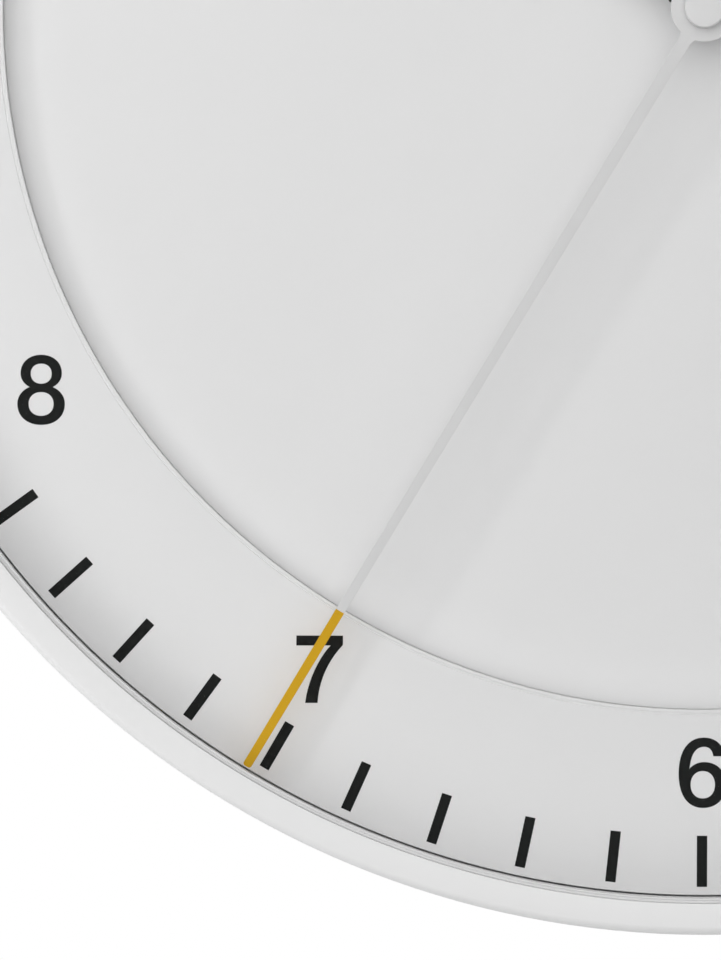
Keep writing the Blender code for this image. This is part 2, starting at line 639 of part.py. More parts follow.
def make_washer():
    profile = [(BUSH_RADIUS + SEAT_GAP, WASHER_REAR), (NUT_WIDTH / 2, WASHER_REAR),
               (NUT_WIDTH / 2, WASHER_REAR + WASHER_THICKNESS),
               (BUSH_RADIUS + SEAT_GAP, WASHER_REAR + WASHER_THICKNESS)]
    return turned("dial_washer", profile, HUB_FACETS)


def make_nut():
    corner_radius = NUT_WIDTH / 2 / math.cos(math.pi / 6)
    nut = prism("bush_nut", circle(corner_radius, 6), NUT_REAR, NUT_REAR + NUT_THICKNESS)
    bore_end = NUT_REAR + NUT_THICKNESS + SEAT_GAP
    return cut(nut, rod(BUSH_RADIUS + SEAT_GAP, NUT_REAR - SEAT_GAP, bore_end, facets=HUB_FACETS))


def make_train_plate():
    outline = rectangle(-PLATE_WIDTH / 2, PLATE_WIDTH / 2, -PLATE_BOTTOM, PLATE_TOP, MOVEMENT_CORNER)
    plate = prism("train_plate", outline, PLATE_REAR, PLATE_FRONT)
    holes = [((0.0, 0.0), SECOND_ARBOR_RADIUS + RUNNING_GAP)]
    for place in (MIDDLE_PLACE, mirrored(MIDDLE_PLACE), ROTOR_PLACE, mirrored(ROTOR_PLACE)):
        holes.append((place, MIDDLE_ARBOR_RADIUS + RUNNING_GAP))
    holes += [(place, SCREW_SHANK_RADIUS + SCREW_HOLE_CLEARANCE) for place in TRAIN_POSTS]
    for place, radius in holes:
        cut(plate, rod(radius, PLATE_REAR - PLATE_THICKNESS, PLATE_FRONT + PLATE_THICKNESS, place))
    return plate


# Going train: every gear piece is built around its own axis and then set in its place

def set_on_axis(item, place):
    item.location = (place[0], place[1], 0.0)
    return item


def make_second_wheel():
    wheel = toothed("second_wheel", CENTRE_WHEEL_TEETH, DRIVE_MODULE, SECOND_LEVEL,
                    SECOND_LEVEL + WHEEL_THICKNESS, 0.0)
    return join(wheel, rod(SECOND_ARBOR_RADIUS, PLATE_REAR - SEAT_GAP, ARBOR_FRONT))


def make_minute_wheel():
    wheel = toothed("minute_wheel", CENTRE_WHEEL_TEETH, DRIVE_MODULE, MINUTE_LEVEL,
                    MINUTE_LEVEL + WHEEL_THICKNESS, 0.0)
    cannon_front = MOTION_LEVEL + WHEEL_THICKNESS + PINION_OVERHANG
    cannon = toothed("cannon", CANNON_TEETH, MOTION_MODULE, MINUTE_LEVEL + WHEEL_THICKNESS / 2,
                     cannon_front, 0.0, leaves=True)
    join(wheel, cannon)
    join(wheel, rod(MINUTE_PIPE_RADIUS, MINUTE_LEVEL - PINION_OVERHANG, MINUTE_PIPE_FRONT, facets=20))
    bore_end = MINUTE_PIPE_FRONT + SEAT_GAP
    return cut(wheel, rod(MINUTE_BORE, MINUTE_LEVEL - LEVEL_PITCH, bore_end, facets=16))


def motion_wheel_phase():
    return meshing_phase((0.0, 0.0), CANNON_TEETH, 0.0, MOTION_PLACE, MOTION_WHEEL_TEETH)


def make_motion_wheel():
    wheel = toothed("motion_wheel", MOTION_WHEEL_TEETH, MOTION_MODULE, MOTION_LEVEL,
                    MOTION_LEVEL + WHEEL_THICKNESS, motion_wheel_phase())
    pinion_front = HOUR_LEVEL + WHEEL_THICKNESS + SEAT_GAP
    join(wheel, toothed("pinion", MOTION_PINION_TEETH, MOTION_MODULE, MOTION_LEVEL + WHEEL_THICKNESS / 2,
                        pinion_front, 0.0, leaves=True))
    bore = rod(MOTION_STUD_RADIUS + RUNNING_GAP, MOTION_LEVEL - WHEEL_THICKNESS, pinion_front + SEAT_GAP)
    return set_on_axis(cut(wheel, bore), MOTION_PLACE)


def make_hour_wheel():
    phase = meshing_phase(MOTION_PLACE, MOTION_PINION_TEETH, 0.0, (0.0, 0.0), HOUR_WHEEL_TEETH)
    wheel = toothed("hour_wheel", HOUR_WHEEL_TEETH, MOTION_MODULE, HOUR_LEVEL,
                    HOUR_LEVEL + WHEEL_THICKNESS, phase)
    join(wheel, rod(HOUR_PIPE_RADIUS, HOUR_LEVEL + WHEEL_THICKNESS / 2, HOUR_PIPE_FRONT, facets=24))
    return cut(wheel, rod(HOUR_BORE, HOUR_LEVEL - WHEEL_THICKNESS, HOUR_PIPE_FRONT + SEAT_GAP, facets=24))


def make_middle_wheel(name, place, driven_level):
    """The wheel between a motor and a centre wheel: its pinion drives the wheel at driven_level."""
    pinion_phase = meshing_phase((0.0, 0.0), CENTRE_WHEEL_TEETH, 0.0, place, DRIVE_PINION_TEETH)
    wheel = toothed(name, MIDDLE_WHEEL_TEETH, DRIVE_MODULE, MIDDLE_LEVEL,
                    MIDDLE_LEVEL + WHEEL_THICKNESS, 0.0)
    join(wheel, toothed("pinion", DRIVE_PINION_TEETH, DRIVE_MODULE, driven_level - PINION_OVERHANG,
                        driven_level + WHEEL_THICKNESS + PINION_OVERHANG, pinion_phase, leaves=True))
    join(wheel, rod(MIDDLE_ARBOR_RADIUS, PLATE_REAR - SEAT_GAP, HOUSING_INNER + PIVOT_DEPTH - SEAT_GAP))
    return set_on_axis(wheel, place)


def make_rotor(name, place, wheel_place):
    phase = meshing_phase(wheel_place, MIDDLE_WHEEL_TEETH, 0.0, place, DRIVE_PINION_TEETH)
    rotor = toothed(name, DRIVE_PINION_TEETH, DRIVE_MODULE, MAGNET_FRONT - WHEEL_THICKNESS / 2,
                    MIDDLE_LEVEL + WHEEL_THICKNESS + PINION_OVERHANG, phase, leaves=True)
    join(rotor, rod(MAGNET_RADIUS, MAGNET_REAR, MAGNET_FRONT, facets=24))
    join(rotor, rod(MIDDLE_ARBOR_RADIUS, PLATE_REAR - SEAT_GAP, HOUSING_INNER + PIVOT_DEPTH - SEAT_GAP))
    return set_on_axis(rotor, place)


# Stepping motors

def coil_side(place):
    return math.copysign(COIL_OFFSET, place[0])


def motor_feet():
    """The stretches of the motor's height where the stator and the core lie on each other."""
    low = COIL_CENTRE - COIL_LENGTH / 2 - SEAT_GAP
    high = COIL_CENTRE + COIL_LENGTH / 2 + SEAT_GAP
    return (low - CORE_FOOT, low), (high, high + CORE_FOOT)


def make_stator(name, place):
    (low_end, low), (high, high_end) = motor_feet()
    outward = math.copysign(1.0, place[0])
    inner = place[0] - outward * STATOR_HALF_WIDTH
    neck = place[0] + outward * STATOR_HALF_WIDTH
    foot = coil_side(place) + outward * CORE_WIDTH / 2
    outline = [(inner, low_end), (foot, low_end), (foot, low), (neck, low),
               (neck, high), (foot, high), (foot, high_end), (inner, high_end)]
    if outward < 0:
        outline.reverse()
    stator = prism(name, outline, STATOR_REAR, STATOR_FRONT)
    hole = rod(MAGNET_RADIUS + MAGNET_GAP, STATOR_REAR - SEAT_GAP, STATOR_FRONT + SEAT_GAP, place, 24)
    return cut(stator, hole)


def make_core(name, place):
    (low_end, _), (_, high_end) = motor_feet()
    middle = coil_side(place)
    outline = rectangle(middle - CORE_WIDTH / 2, middle + CORE_WIDTH / 2, low_end, high_end)
    return prism(name, outline, CORE_REAR, CORE_FRONT)


def make_coil(name, place):
    half = COIL_LENGTH / 2
    profile = [(0.0, -half), (COIL_RADIUS, -half), (COIL_RADIUS, -half + COIL_FLANGE),
               (COIL_WINDING_RADIUS, -half + COIL_FLANGE), (COIL_WINDING_RADIUS, half - COIL_FLANGE),
               (COIL_RADIUS, half - COIL_FLANGE), (COIL_RADIUS, half), (0.0, half)]
    coil = turned(name, profile, 16)
    level = (CORE_REAR + CORE_FRONT) / 2
    turn = Matrix.Translation((coil_side(place), COIL_CENTRE, level)) @ Matrix.Rotation(math.pi / 2, 4, 'X')
    coil.data.transform(turn)
    slot_half = CORE_WIDTH / 2 + SEAT_GAP
    slot = rectangle(coil_side(place) - slot_half, coil_side(place) + slot_half,
                     COIL_CENTRE - COIL_LENGTH, COIL_CENTRE + COIL_LENGTH)
    return cut(coil, prism("slot", slot, CORE_REAR - SEAT_GAP, CORE_FRONT + SEAT_GAP))


# Circuit board, buttons and receiver

def lying_rod(radius, length, row, level, facets, name="lying_rod"):
    """A rod along X."""
    item = prism(name, circle(radius, facets), -length / 2, length / 2)
    item.data.transform(Matrix.Translation((0, row, level)) @ Matrix.Rotation(math.pi / 2, 4, 'Y'))
    return item


def make_board():
    outline = rectangle(-BOARD_HALF_WIDTH, BOARD_HALF_WIDTH, BOARD_BOTTOM, BOARD_TOP)
    board = prism("circuit_board", outline, BOARD_REAR, BOARD_FRONT)
    for place in board_screw_places():
        cut(board, rod(SCREW_SHANK_RADIUS + SCREW_HOLE_CLEARANCE, BOARD_REAR - BOARD_THICKNESS,
                       BOARD_FRONT + BOARD_THICKNESS, place))
    return board


def make_switch(name, place):
    body_front = BOARD_REAR - SEAT_GAP
    half = SWITCH_SIDE / 2
    switch = prism(name, rectangle(-half, half, -half, half), body_front - SWITCH_BODY, body_front, place)
    plunger_rear = button_end() + BUTTON_TRAVEL + RUNNING_GAP
    return join(switch, rod(BUTTON_RADIUS / 2, plunger_rear, body_front - SWITCH_BODY / 2, place))


def button_end():
    return COVER_FRONT + SEAT_GAP + BUTTON_FLANGE + BUTTON_STEM


def make_button(name, place):
    flange_rear = COVER_FRONT + SEAT_GAP
    flange_front = flange_rear + BUTTON_FLANGE
    rear = COVER_REAR - BUTTON_PROUD
    flange_radius = BUTTON_RADIUS + 3 * SEAT_GAP
    profile = [(0.0, rear), (BUTTON_RADIUS - SEAT_GAP, rear), (BUTTON_RADIUS, rear + SEAT_GAP),
               (BUTTON_RADIUS, flange_rear), (flange_radius, flange_rear), (flange_radius, flange_front),
               (BUTTON_RADIUS / 2, flange_front), (BUTTON_RADIUS / 2, button_end()), (0.0, button_end())]
    return set_on_axis(turned(name, profile, BUTTON_FACETS), place)


def make_antenna_rod():
    return lying_rod(ANTENNA_RADIUS, ANTENNA_LENGTH, ANTENNA_ROW, ANTENNA_LEVEL,
                     HUB_FACETS, "antenna_rod")


def make_antenna_coil():
    coil = lying_rod(ANTENNA_COIL_RADIUS, ANTENNA_COIL_LENGTH, ANTENNA_ROW, ANTENNA_LEVEL,
                     HUB_FACETS, "antenna_coil")
    bore = lying_rod(ANTENNA_RADIUS + SEAT_GAP, 2 * ANTENNA_COIL_LENGTH, ANTENNA_ROW, ANTENNA_LEVEL,
                     HUB_FACETS)
    return cut(coil, bore)


def make_crystal():
    row = BOARD_BOTTOM + 2 * CRYSTAL_RADIUS
    crystal = lying_rod(CRYSTAL_RADIUS, CRYSTAL_LENGTH, row, BOARD_FRONT + SEAT_GAP + CRYSTAL_RADIUS, 16,
                        "quartz_crystal")
    crystal.data.transform(Matrix.Translation((CHIP_SIDE + CRYSTAL_LENGTH, 0, 0)))
    return crystal


def make_chip():
    """The controller is a low dome of black resin on the board."""
    radius = CHIP_SIDE / 2
    bottom = BOARD_FRONT + SEAT_GAP
    profile = [(0.0, bottom), (radius, bottom), (radius * 0.8, bottom + CHIP_HEIGHT * 0.7),
               (radius * 0.45, bottom + CHIP_HEIGHT), (0.0, bottom + CHIP_HEIGHT)]
    row = BOARD_BOTTOM + radius + SEAT_GAP
    return turned("controller_chip", profile, 20, (-CHIP_SIDE, row))


# Battery and contacts

def make_battery():
    half = BATTERY_LENGTH / 2
    edge = BATTERY_RADIUS - 2 * SEAT_GAP
    profile = [(0.0, -half), (edge, -half), (BATTERY_RADIUS, -half + 2 * SEAT_GAP),
               (BATTERY_RADIUS, half - 2 * SEAT_GAP), (edge, half), (BATTERY_NUB_RADIUS, half),
               (BATTERY_NUB_RADIUS, half + BATTERY_NUB), (0.0, half + BATTERY_NUB)]
    battery = turned("battery", profile, HUB_FACETS)
    battery.data.transform(Matrix.Rotation(math.pi / 2, 4, 'Y'))
    battery.location = (0.0, BATTERY_ROW, BATTERY_LEVEL)
    return battery


def contact_strip(name, outline):
    """A bent strip: an outline seen along the dial's Y axis, as wide as the contact."""
    strip = prism(name, outline, -CONTACT_WIDTH / 2, CONTACT_WIDTH / 2)
    strip.data.transform(Matrix.Translation((0, BATTERY_ROW, 0)) @ Matrix.Rotation(math.pi / 2, 4, 'X'))
    return strip


def make_positive_contact():
    outer = BAY_RIGHT - SEAT_GAP
    inner = outer - CONTACT_THICKNESS
    half = BATTERY_RADIUS * 0.8
    outline = rectangle(inner, outer, BATTERY_LEVEL - half, BATTERY_LEVEL + half)
    return contact_strip("positive_contact", outline)


def make_negative_contact():
    """A leaf spring: a back strip against the wall and a bowed leaf towards the battery."""
    back = SEAT_GAP - BAY_LEFT
    half = BATTERY_RADIUS * 0.8
    bow = BATTERY_RADIUS * 0.25
    reach = back + CONTACT_SPRING + CONTACT_THICKNESS - SEAT_GAP
    t = CONTACT_THICKNESS
    low, high = BATTERY_LEVEL - half, BATTERY_LEVEL + half
    outline = [(back, low), (back + t, low), (back + t, high - 2 * t), (reach - t, BATTERY_LEVEL + bow),
               (reach - t, BATTERY_LEVEL - bow), (back + 3 * t, low + t), (back + 3 * t, low),
               (reach, BATTERY_LEVEL - bow - t / 2), (reach, BATTERY_LEVEL + bow + t / 2), (back + t, high),
               (back, high)]
    return contact_strip("negative_contact", outline)


# Hands

def hand_outline(hub_radius, length, root_width, tip_width):
    """A hub and a tapered blade that points up the dial."""
    spread = math.asin(root_width / 2 / hub_radius)
    outline = arc((0.0, 0.0), hub_radius, math.pi / 2 + spread, 5 * math.pi / 2 - spread, HUB_FACETS)
    corner = tip_width / 4
    half = tip_width / 2
    outline += [(half, length - corner), (half - corner, length),
                (-half + corner, length), (-half, length - corner)]
    return outline


def make_hand(name, outline, rear, thickness, bore, clockwise):
    hand = prism(name, outline, rear, rear + thickness)
    cut(hand, rod(bore, rear - thickness, rear + 2 * thickness, facets=24))
    hand.rotation_euler = (0.0, 0.0, -clockwise)
    return hand


def hand_turns():
    """Clockwise turns of the hour, minute and second hand: the minute hand goes on once a minute."""
    minutes = TIME_MINUTES * 2 * math.pi / 60
    hours = (TIME_HOURS + TIME_MINUTES / 60) * 2 * math.pi / 12
    seconds = TIME_SECONDS * 2 * math.pi / 60
    return hours, minutes, seconds


def make_hour_hand():
    outline = hand_outline(LOWER_HUB_RADIUS, HOUR_HAND_LENGTH, HOUR_HAND_WIDTH, HOUR_HAND_WIDTH)
    return make_hand("hour_hand", outline, HOUR_HAND_REAR, HAND_THICKNESS,
                     HOUR_PIPE_RADIUS + SEAT_GAP, hand_turns()[0])


def make_minute_hand():
    outline = hand_outline(LOWER_HUB_RADIUS, MINUTE_HAND_LENGTH, MINUTE_HAND_WIDTH, MINUTE_HAND_WIDTH)
    return make_hand("minute_hand", outline, MINUTE_HAND_REAR, HAND_THICKNESS,
                     MINUTE_PIPE_RADIUS + SEAT_GAP, hand_turns()[1])


def make_second_hand():
    outline = hand_outline(SECOND_HUB_RADIUS, SECOND_HAND_LENGTH,
                           SECOND_HAND_ROOT_WIDTH, SECOND_HAND_TIP_WIDTH)
    return make_hand("second_hand", outline, SECOND_HAND_REAR, SECOND_HAND_THICKNESS,
                     SECOND_ARBOR_RADIUS + SEAT_GAP, hand_turns()[2])


def make_cap():
    edge = CAP_HEIGHT / 5
    socket = SECOND_ARBOR_RADIUS + SEAT_GAP
    socket_end = ARBOR_FRONT + SEAT_GAP
    profile = [(socket, CAP_REAR), (CAP_RADIUS, CAP_REAR), (CAP_RADIUS, CAP_FRONT - edge),
               (CAP_RADIUS - edge, CAP_FRONT), (0.0, CAP_FRONT), (0.0, socket_end), (socket, socket_end)]
    return turned("hand_cap", profile, HUB_FACETS)


# Screws are driven forwards, from behind

def make_screw(name, place, seat, length):
    """A pan-head screw whose head lies behind seat and whose shank ends length in front of it."""
    head_front = seat - SEAT_GAP
    head_rear = head_front - SCREW_HEAD_HEIGHT
    tip = seat + length
    profile = [(0.0, head_rear), (SCREW_HEAD_RADIUS * 0.75, head_rear),
               (SCREW_HEAD_RADIUS, head_rear + SCREW_HEAD_HEIGHT * 0.4), (SCREW_HEAD_RADIUS, head_front),
               (SCREW_SHANK_RADIUS, head_front), (SCREW_SHANK_RADIUS, tip - SCREW_SHANK_RADIUS), (0.0, tip)]
    screw = turned(name, profile, SMALL_FACETS, place)
    arm = SCREW_HEAD_RADIUS * 0.55
    half = SCREW_SLOT_WIDTH / 2
    cross = [(half, half), (half, arm), (-half, arm), (-half, half), (-arm, half), (-arm, -half),
             (-half, -half), (-half, -arm), (half, -arm), (half, -half), (arm, -half), (arm, half)]
    slot_front = head_rear + SCREW_SLOT_DEPTH
    return cut(screw, prism("cross", cross, head_rear - SCREW_SLOT_DEPTH, slot_front, place))


def make_screws():
    groups = (
        ("case_screw", case_boss_places(), PANEL_REAR, CASE_SCREW_LENGTH),
        ("hanger_screw", hanger_screw_places(), PANEL_REAR + POCKET_DEPTH - SEAT_GAP - HANGER_THICKNESS,
         HANGER_SCREW_LENGTH - SEAT_GAP),
        ("cover_screw", cover_screw_places(), COVER_REAR, COVER_SCREW_LENGTH),
        ("train_screw", TRAIN_POSTS, PLATE_REAR, TRAIN_SCREW_LENGTH),
        ("board_screw", board_screw_places(), BOARD_REAR, BOARD_SCREW_LENGTH),
    )
    screws = []
    for name, places, seat, length in groups:
        for number, place in enumerate(places, start=1):
            screws.append(make_screw(f"{name}_{number}", place, seat, length))
    return screws


def finish(item, material):
    """Give a part its material and smooth shading with crisp edges."""
    item.data.materials.clear()
    item.data.materials.append(material)
    item.data.shade_smooth()
    item.data.set_sharp_from_angle(angle=math.radians(35))


def build_clock():
    clear_scene()
    white = make_material("white_plastic", (0.78, 0.78, 0.78), 0.38)
    dial_white = make_material("dial_white", (0.74, 0.74, 0.74), 0.55)
    clear = make_material("clear_glass", (0.95, 0.97, 0.96), 0.03, alpha=0.15)
    grey_rubber = make_material("grey_rubber", (0.55, 0.55, 0.55), 0.8)
    back_plastic = make_material("back_plastic", (0.70, 0.70, 0.69), 0.5)
    black_plastic = make_material("black_plastic", (0.03, 0.03, 0.032), 0.45)
    natural_plastic = make_material("natural_plastic", (0.78, 0.76, 0.70), 0.4)
    hand_black = make_material("hand_black", (0.014, 0.014, 0.014), 0.5)
    hand_grey = make_material("hand_grey", (0.60, 0.60, 0.60), 0.4)
    zinc_steel = make_material("zinc_steel", (0.62, 0.63, 0.65), 0.35, metallic=1.0)
    brass = make_material("brass", (0.72, 0.55, 0.25), 0.3, metallic=1.0)
    soft_iron = make_material("soft_iron", (0.42, 0.42, 0.43), 0.45, metallic=1.0)
    ferrite = make_material("ferrite", (0.07, 0.065, 0.065), 0.7)
    copper = make_material("copper_wire", (0.62, 0.27, 0.12), 0.35, metallic=1.0)
    board_green = make_material("board_green", (0.03, 0.18, 0.07), 0.45)
    button_grey = make_material("button_grey", (0.35, 0.35, 0.36), 0.5)
    battery_wrap = make_material("battery_wrap", (0.10, 0.13, 0.16), 0.35)

    middle_right = mirrored(MIDDLE_PLACE)
    rotor_right = mirrored(ROTOR_PLACE)
    parts = [
        (make_case(), white),
        (make_lens(), clear),
        (make_gasket(), grey_rubber),
        (make_chapter_ring(), dial_white),
        (make_dial_disc(), dial_white),
        (make_rear_panel(), back_plastic),
        (make_hanger_plate(), zinc_steel),
        (make_movement_housing(), black_plastic),
        (make_movement_cover(), black_plastic),
        (make_washer(), grey_rubber),
        (make_nut(), brass),
        (make_train_plate(), natural_plastic),
        (make_second_wheel(), natural_plastic),
        (make_minute_wheel(), natural_plastic),
        (make_motion_wheel(), natural_plastic),
        (make_hour_wheel(), natural_plastic),
        (make_middle_wheel("seconds_gear", MIDDLE_PLACE, SECOND_LEVEL), natural_plastic),
        (make_middle_wheel("minutes_gear", middle_right, MINUTE_LEVEL), natural_plastic),
        (make_rotor("seconds_rotor", ROTOR_PLACE, MIDDLE_PLACE), ferrite),
        (make_rotor("minutes_rotor", rotor_right, middle_right), ferrite),
        (make_stator("seconds_stator", ROTOR_PLACE), soft_iron),
        (make_stator("minutes_stator", rotor_right), soft_iron),
        (make_core("seconds_core", ROTOR_PLACE), soft_iron),
        (make_core("minutes_core", rotor_right), soft_iron),
        (make_coil("seconds_coil", ROTOR_PLACE), copper),
        (make_coil("minutes_coil", rotor_right), copper),
        (make_board(), board_green),
        (make_chip(), hand_black),
        (make_crystal(), zinc_steel),
        (make_antenna_rod(), ferrite),
        (make_antenna_coil(), copper),
        (make_battery(), battery_wrap),
        (make_positive_contact(), zinc_steel),
        (make_negative_contact(), zinc_steel),
        (make_hour_hand(), hand_black),
        (make_minute_hand(), hand_black),
        (make_second_hand(), hand_grey),
        (make_cap(), hand_grey),
    ]
    for name, place in zip(("reset", "set", "wave"), button_places()):
        parts.append((make_button(f"{name}_button", place), button_grey))
        parts.append((make_switch(f"{name}_switch", place), black_plastic))
    parts += [(screw, zinc_steel) for screw in make_screws()]

    clock_axis = bpy.data.objects.new("clock_axis", None)
    clock_axis.location = (0.0, 0.0, -HANG_HEIGHT)
    clock_axis.rotation_euler = (math.pi / 2, 0.0, 0.0)
    bpy.context.scene.collection.objects.link(clock_axis)
    for item, material in parts:
        finish(item, material)
        item.parent = clock_axis
    bpy.context.view_layer.update()


build_clock()
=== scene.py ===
# %% [markdown]
# # A radio-controlled wall clock, dressed for the camera
#
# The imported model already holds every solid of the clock, at its real size and with its joints.
# This lesson gives those solids their looks. Round pieces are turned again with finer facets,
# because a rim that a camera sees from close by shows every corner. Flat and hidden pieces keep
# their solids and only get a finish.
#
# Nothing here moves a solid: a new piece stands exactly where the solid it replaces stands,
# and rides on the same body, so that the hands still turn and the buttons still go in.

import math

import bmesh
import bpy
from mathutils import Matrix, Vector


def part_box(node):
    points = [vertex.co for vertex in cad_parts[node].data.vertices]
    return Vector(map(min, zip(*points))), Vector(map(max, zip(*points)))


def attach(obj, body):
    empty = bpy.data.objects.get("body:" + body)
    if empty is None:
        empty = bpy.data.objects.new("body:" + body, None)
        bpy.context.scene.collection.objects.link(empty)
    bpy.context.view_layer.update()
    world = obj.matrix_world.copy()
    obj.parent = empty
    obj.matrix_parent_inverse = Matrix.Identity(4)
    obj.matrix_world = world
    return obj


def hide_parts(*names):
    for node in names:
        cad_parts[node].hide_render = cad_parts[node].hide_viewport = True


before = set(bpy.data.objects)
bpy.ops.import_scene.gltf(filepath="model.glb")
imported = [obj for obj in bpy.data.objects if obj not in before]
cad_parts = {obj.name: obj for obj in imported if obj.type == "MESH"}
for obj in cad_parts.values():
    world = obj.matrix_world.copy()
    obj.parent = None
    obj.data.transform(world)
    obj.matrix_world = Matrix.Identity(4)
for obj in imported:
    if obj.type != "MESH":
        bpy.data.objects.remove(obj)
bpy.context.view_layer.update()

# %% [markdown]
# ## A drawing board that lies on the dial
#
# A clock is easiest to draw as it lies on its back: x to the right, y up the dial, and z forward
# from the wall, all in millimetres. One matrix then stands such a drawing up in the frame, where
# the dial faces -Y and the hanging point is the origin. The axis is measured on the lens, and the
# heights of each piece are read from its solid, so a drawing can't drift away from the model.

# %% From the drawing board to the frame
lens_low, lens_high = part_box("lens")
AXIS_Z = (lens_low.z + lens_high.z) / 2
UPRIGHT = Matrix(((1, 0, 0, 0), (0, 0, -1, 0), (0, 1, 0, AXIS_Z), (0, 0, 0, 1)))
STAND_UP = UPRIGHT @ Matrix.Scale(0.001, 4)


def heights(node):
    """Rear and front height of a solid above the wall, in millimetres."""
    low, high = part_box(node)
    return -high.y * 1000, -low.y * 1000


def reach(node):
    """Largest radius of a round solid, in millimetres."""
    low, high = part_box(node)
    return (high.x - low.x) * 500


def centre(node):
    """Where the middle of a solid lies on the drawing board, in millimetres."""
    low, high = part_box(node)
    return (low.x + high.x) * 500, ((low.z + high.z) / 2 - AXIS_Z) * 1000


print(f"clock axis at z = {AXIS_Z:.4f} m")
print(f"case radius {reach('case'):.1f} mm, depth {heights('case')[1]:.1f} mm")

# %% [markdown]
# ## Turning, filling and carving
#
# Three ways of making a shape cover nearly the whole clock. Round pieces are turned on a lathe:
# an outline of radius and height is swept round the axis. Flat pieces are filled outlines with
# thickness, and any further loops in the outline become holes. Where two forms run through
# each other, one is cut from or joined to the other, as a milling cutter would do it.

# %% Lathe, slab and carve
def arc(centre, radius, start, end, steps):
    """Points of an arc, angles in degrees, both ends included."""
    angles = [math.radians(start + (end - start) * k / steps) for k in range(steps + 1)]
    return [(centre[0] + radius * math.cos(a), centre[1] + radius * math.sin(a)) for a in angles]


def lathe(profile, segments):
    """Sweep (radius, height) points round the axis into a closed solid."""
    bm = bmesh.new()
    rings = []
    for radius, height in profile:
        turns = [math.tau * k / segments for k in range(segments if radius > 0 else 1)]
        rings.append([bm.verts.new((radius * math.cos(t), radius * math.sin(t), height))
                      for t in turns])
    for ring, following in zip(rings, rings[1:] + rings[:1]):
        for k in range(segments):
            corners = (ring[k % len(ring)], ring[(k + 1) % len(ring)],
                       following[(k + 1) % len(following)], following[k % len(following)])
            corners = list(dict.fromkeys(corners))
            if len(corners) > 2:
                bm.faces.new(corners)
    return bm


def slab(loops, bottom, top):
    """Fill the first loop, leave the others open as holes, and give the sheet its thickness."""
    bm = bmesh.new()
    edges = []
    for loop in loops:
        points = [bm.verts.new((x, y, bottom)) for x, y in loop]
        edges += [bm.edges.new(pair) for pair in zip(points, points[1:] + points[:1])]
    bmesh.ops.triangle_fill(bm, use_beauty=True, edges=edges)
    grown = bmesh.ops.extrude_face_region(bm, geom=bm.faces[:])
    raised = [item for item in grown["geom"] if isinstance(item, bmesh.types.BMVert)]
    bmesh.ops.translate(bm, vec=(0, 0, top - bottom), verts=raised)
    return bm


def loose_solid(bm):
    """A bmesh as a bare object, for carving only."""
    bmesh.ops.recalc_face_normals(bm, faces=bm.faces)
    mesh = bpy.data.meshes.new("tool")
    bm.to_mesh(mesh)
    bm.free()
    item = bpy.data.objects.new("tool", mesh)
    bpy.context.scene.collection.objects.link(item)
    return item


def carve(base, tools, operation='DIFFERENCE'):
    """Cut the tools from the base, or join them to it, and return the result as a bmesh."""
    base = loose_solid(base)
    tools = [loose_solid(tool) for tool in tools]
    for tool in tools:
        step = base.modifiers.new("carve", 'BOOLEAN')
        step.operation = operation
        step.object = tool
    graph = bpy.context.evaluated_depsgraph_get()
    carved = bpy.data.meshes.new_from_object(base.evaluated_get(graph))
    bm = bmesh.new()
    bm.from_mesh(carved)
    for item in (base, *tools):
        bpy.data.objects.remove(item, do_unlink=True)
    return bm


def moved(bm, x=0.0, y=0.0, z=0.0, clockwise=0.0):
    """The same drawing turned about the axis and then shifted."""
    bm.transform(Matrix.Translation((x, y, z)) @ Matrix.Rotation(-math.radians(clockwise), 4, 'Z'))
    return bm


print("shapes: lathe, slab, carve")

# %% [markdown]
# ## A piece of the clock
#
# Every drawing ends the same way: it stands up into the frame, its normals point outwards, edges
# sharper than a given angle stay crisp while the rest shades smoothly, and it rides on a body.
# Moulded and stamped edges are never razor sharp, so a small bevel catches the light along them.
# A solid from the frame can be given such a bevel too, because a modifier leaves its mesh alone.

# %% Turn a drawing into a piece
def add_piece(name, bm, finishes, body, stands_for=()):
    """Stand a drawing up in the frame as a named piece that rides on a body."""
    bmesh.ops.recalc_face_normals(bm, faces=bm.faces)
    bm.transform(STAND_UP)
    mesh = bpy.data.meshes.new(name)
    bm.to_mesh(mesh)
    bm.free()
    for finish in finishes:
        mesh.materials.append(finish)
    mesh.shade_smooth()
    mesh.set_sharp_from_angle(angle=math.radians(35))
    piece = bpy.data.objects.new(name, mesh)
    bpy.context.scene.collection.objects.link(piece)
    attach(piece, body)
    if stands_for:
        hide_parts(*stands_for)
    print(f"{name}: {len(mesh.polygons)} faces on {body}")
    return piece


def soften(piece, width):
    """Round the sharp edges of a piece by a width in millimetres."""
    bevel = piece.modifiers.new("soft edges", 'BEVEL')
    bevel.width = width * 0.001
    bevel.segments = 2
    bevel.limit_method = 'ANGLE'
    bevel.angle_limit = math.radians(40)
    bevel.harden_normals = True


print("pieces: add_piece, soften")

# %% [markdown]
# ## Shader maths that reads like maths
#
# A finish is a small network of nodes, and networks are hard to read as a list of links. The
# class below holds one socket of the network. Adding or multiplying it adds the Math node
# that does so, and its one method `node` adds any other node: settings first, then the values
# or links of its sockets. Numbers that don't change over the surface are set on the shader itself.

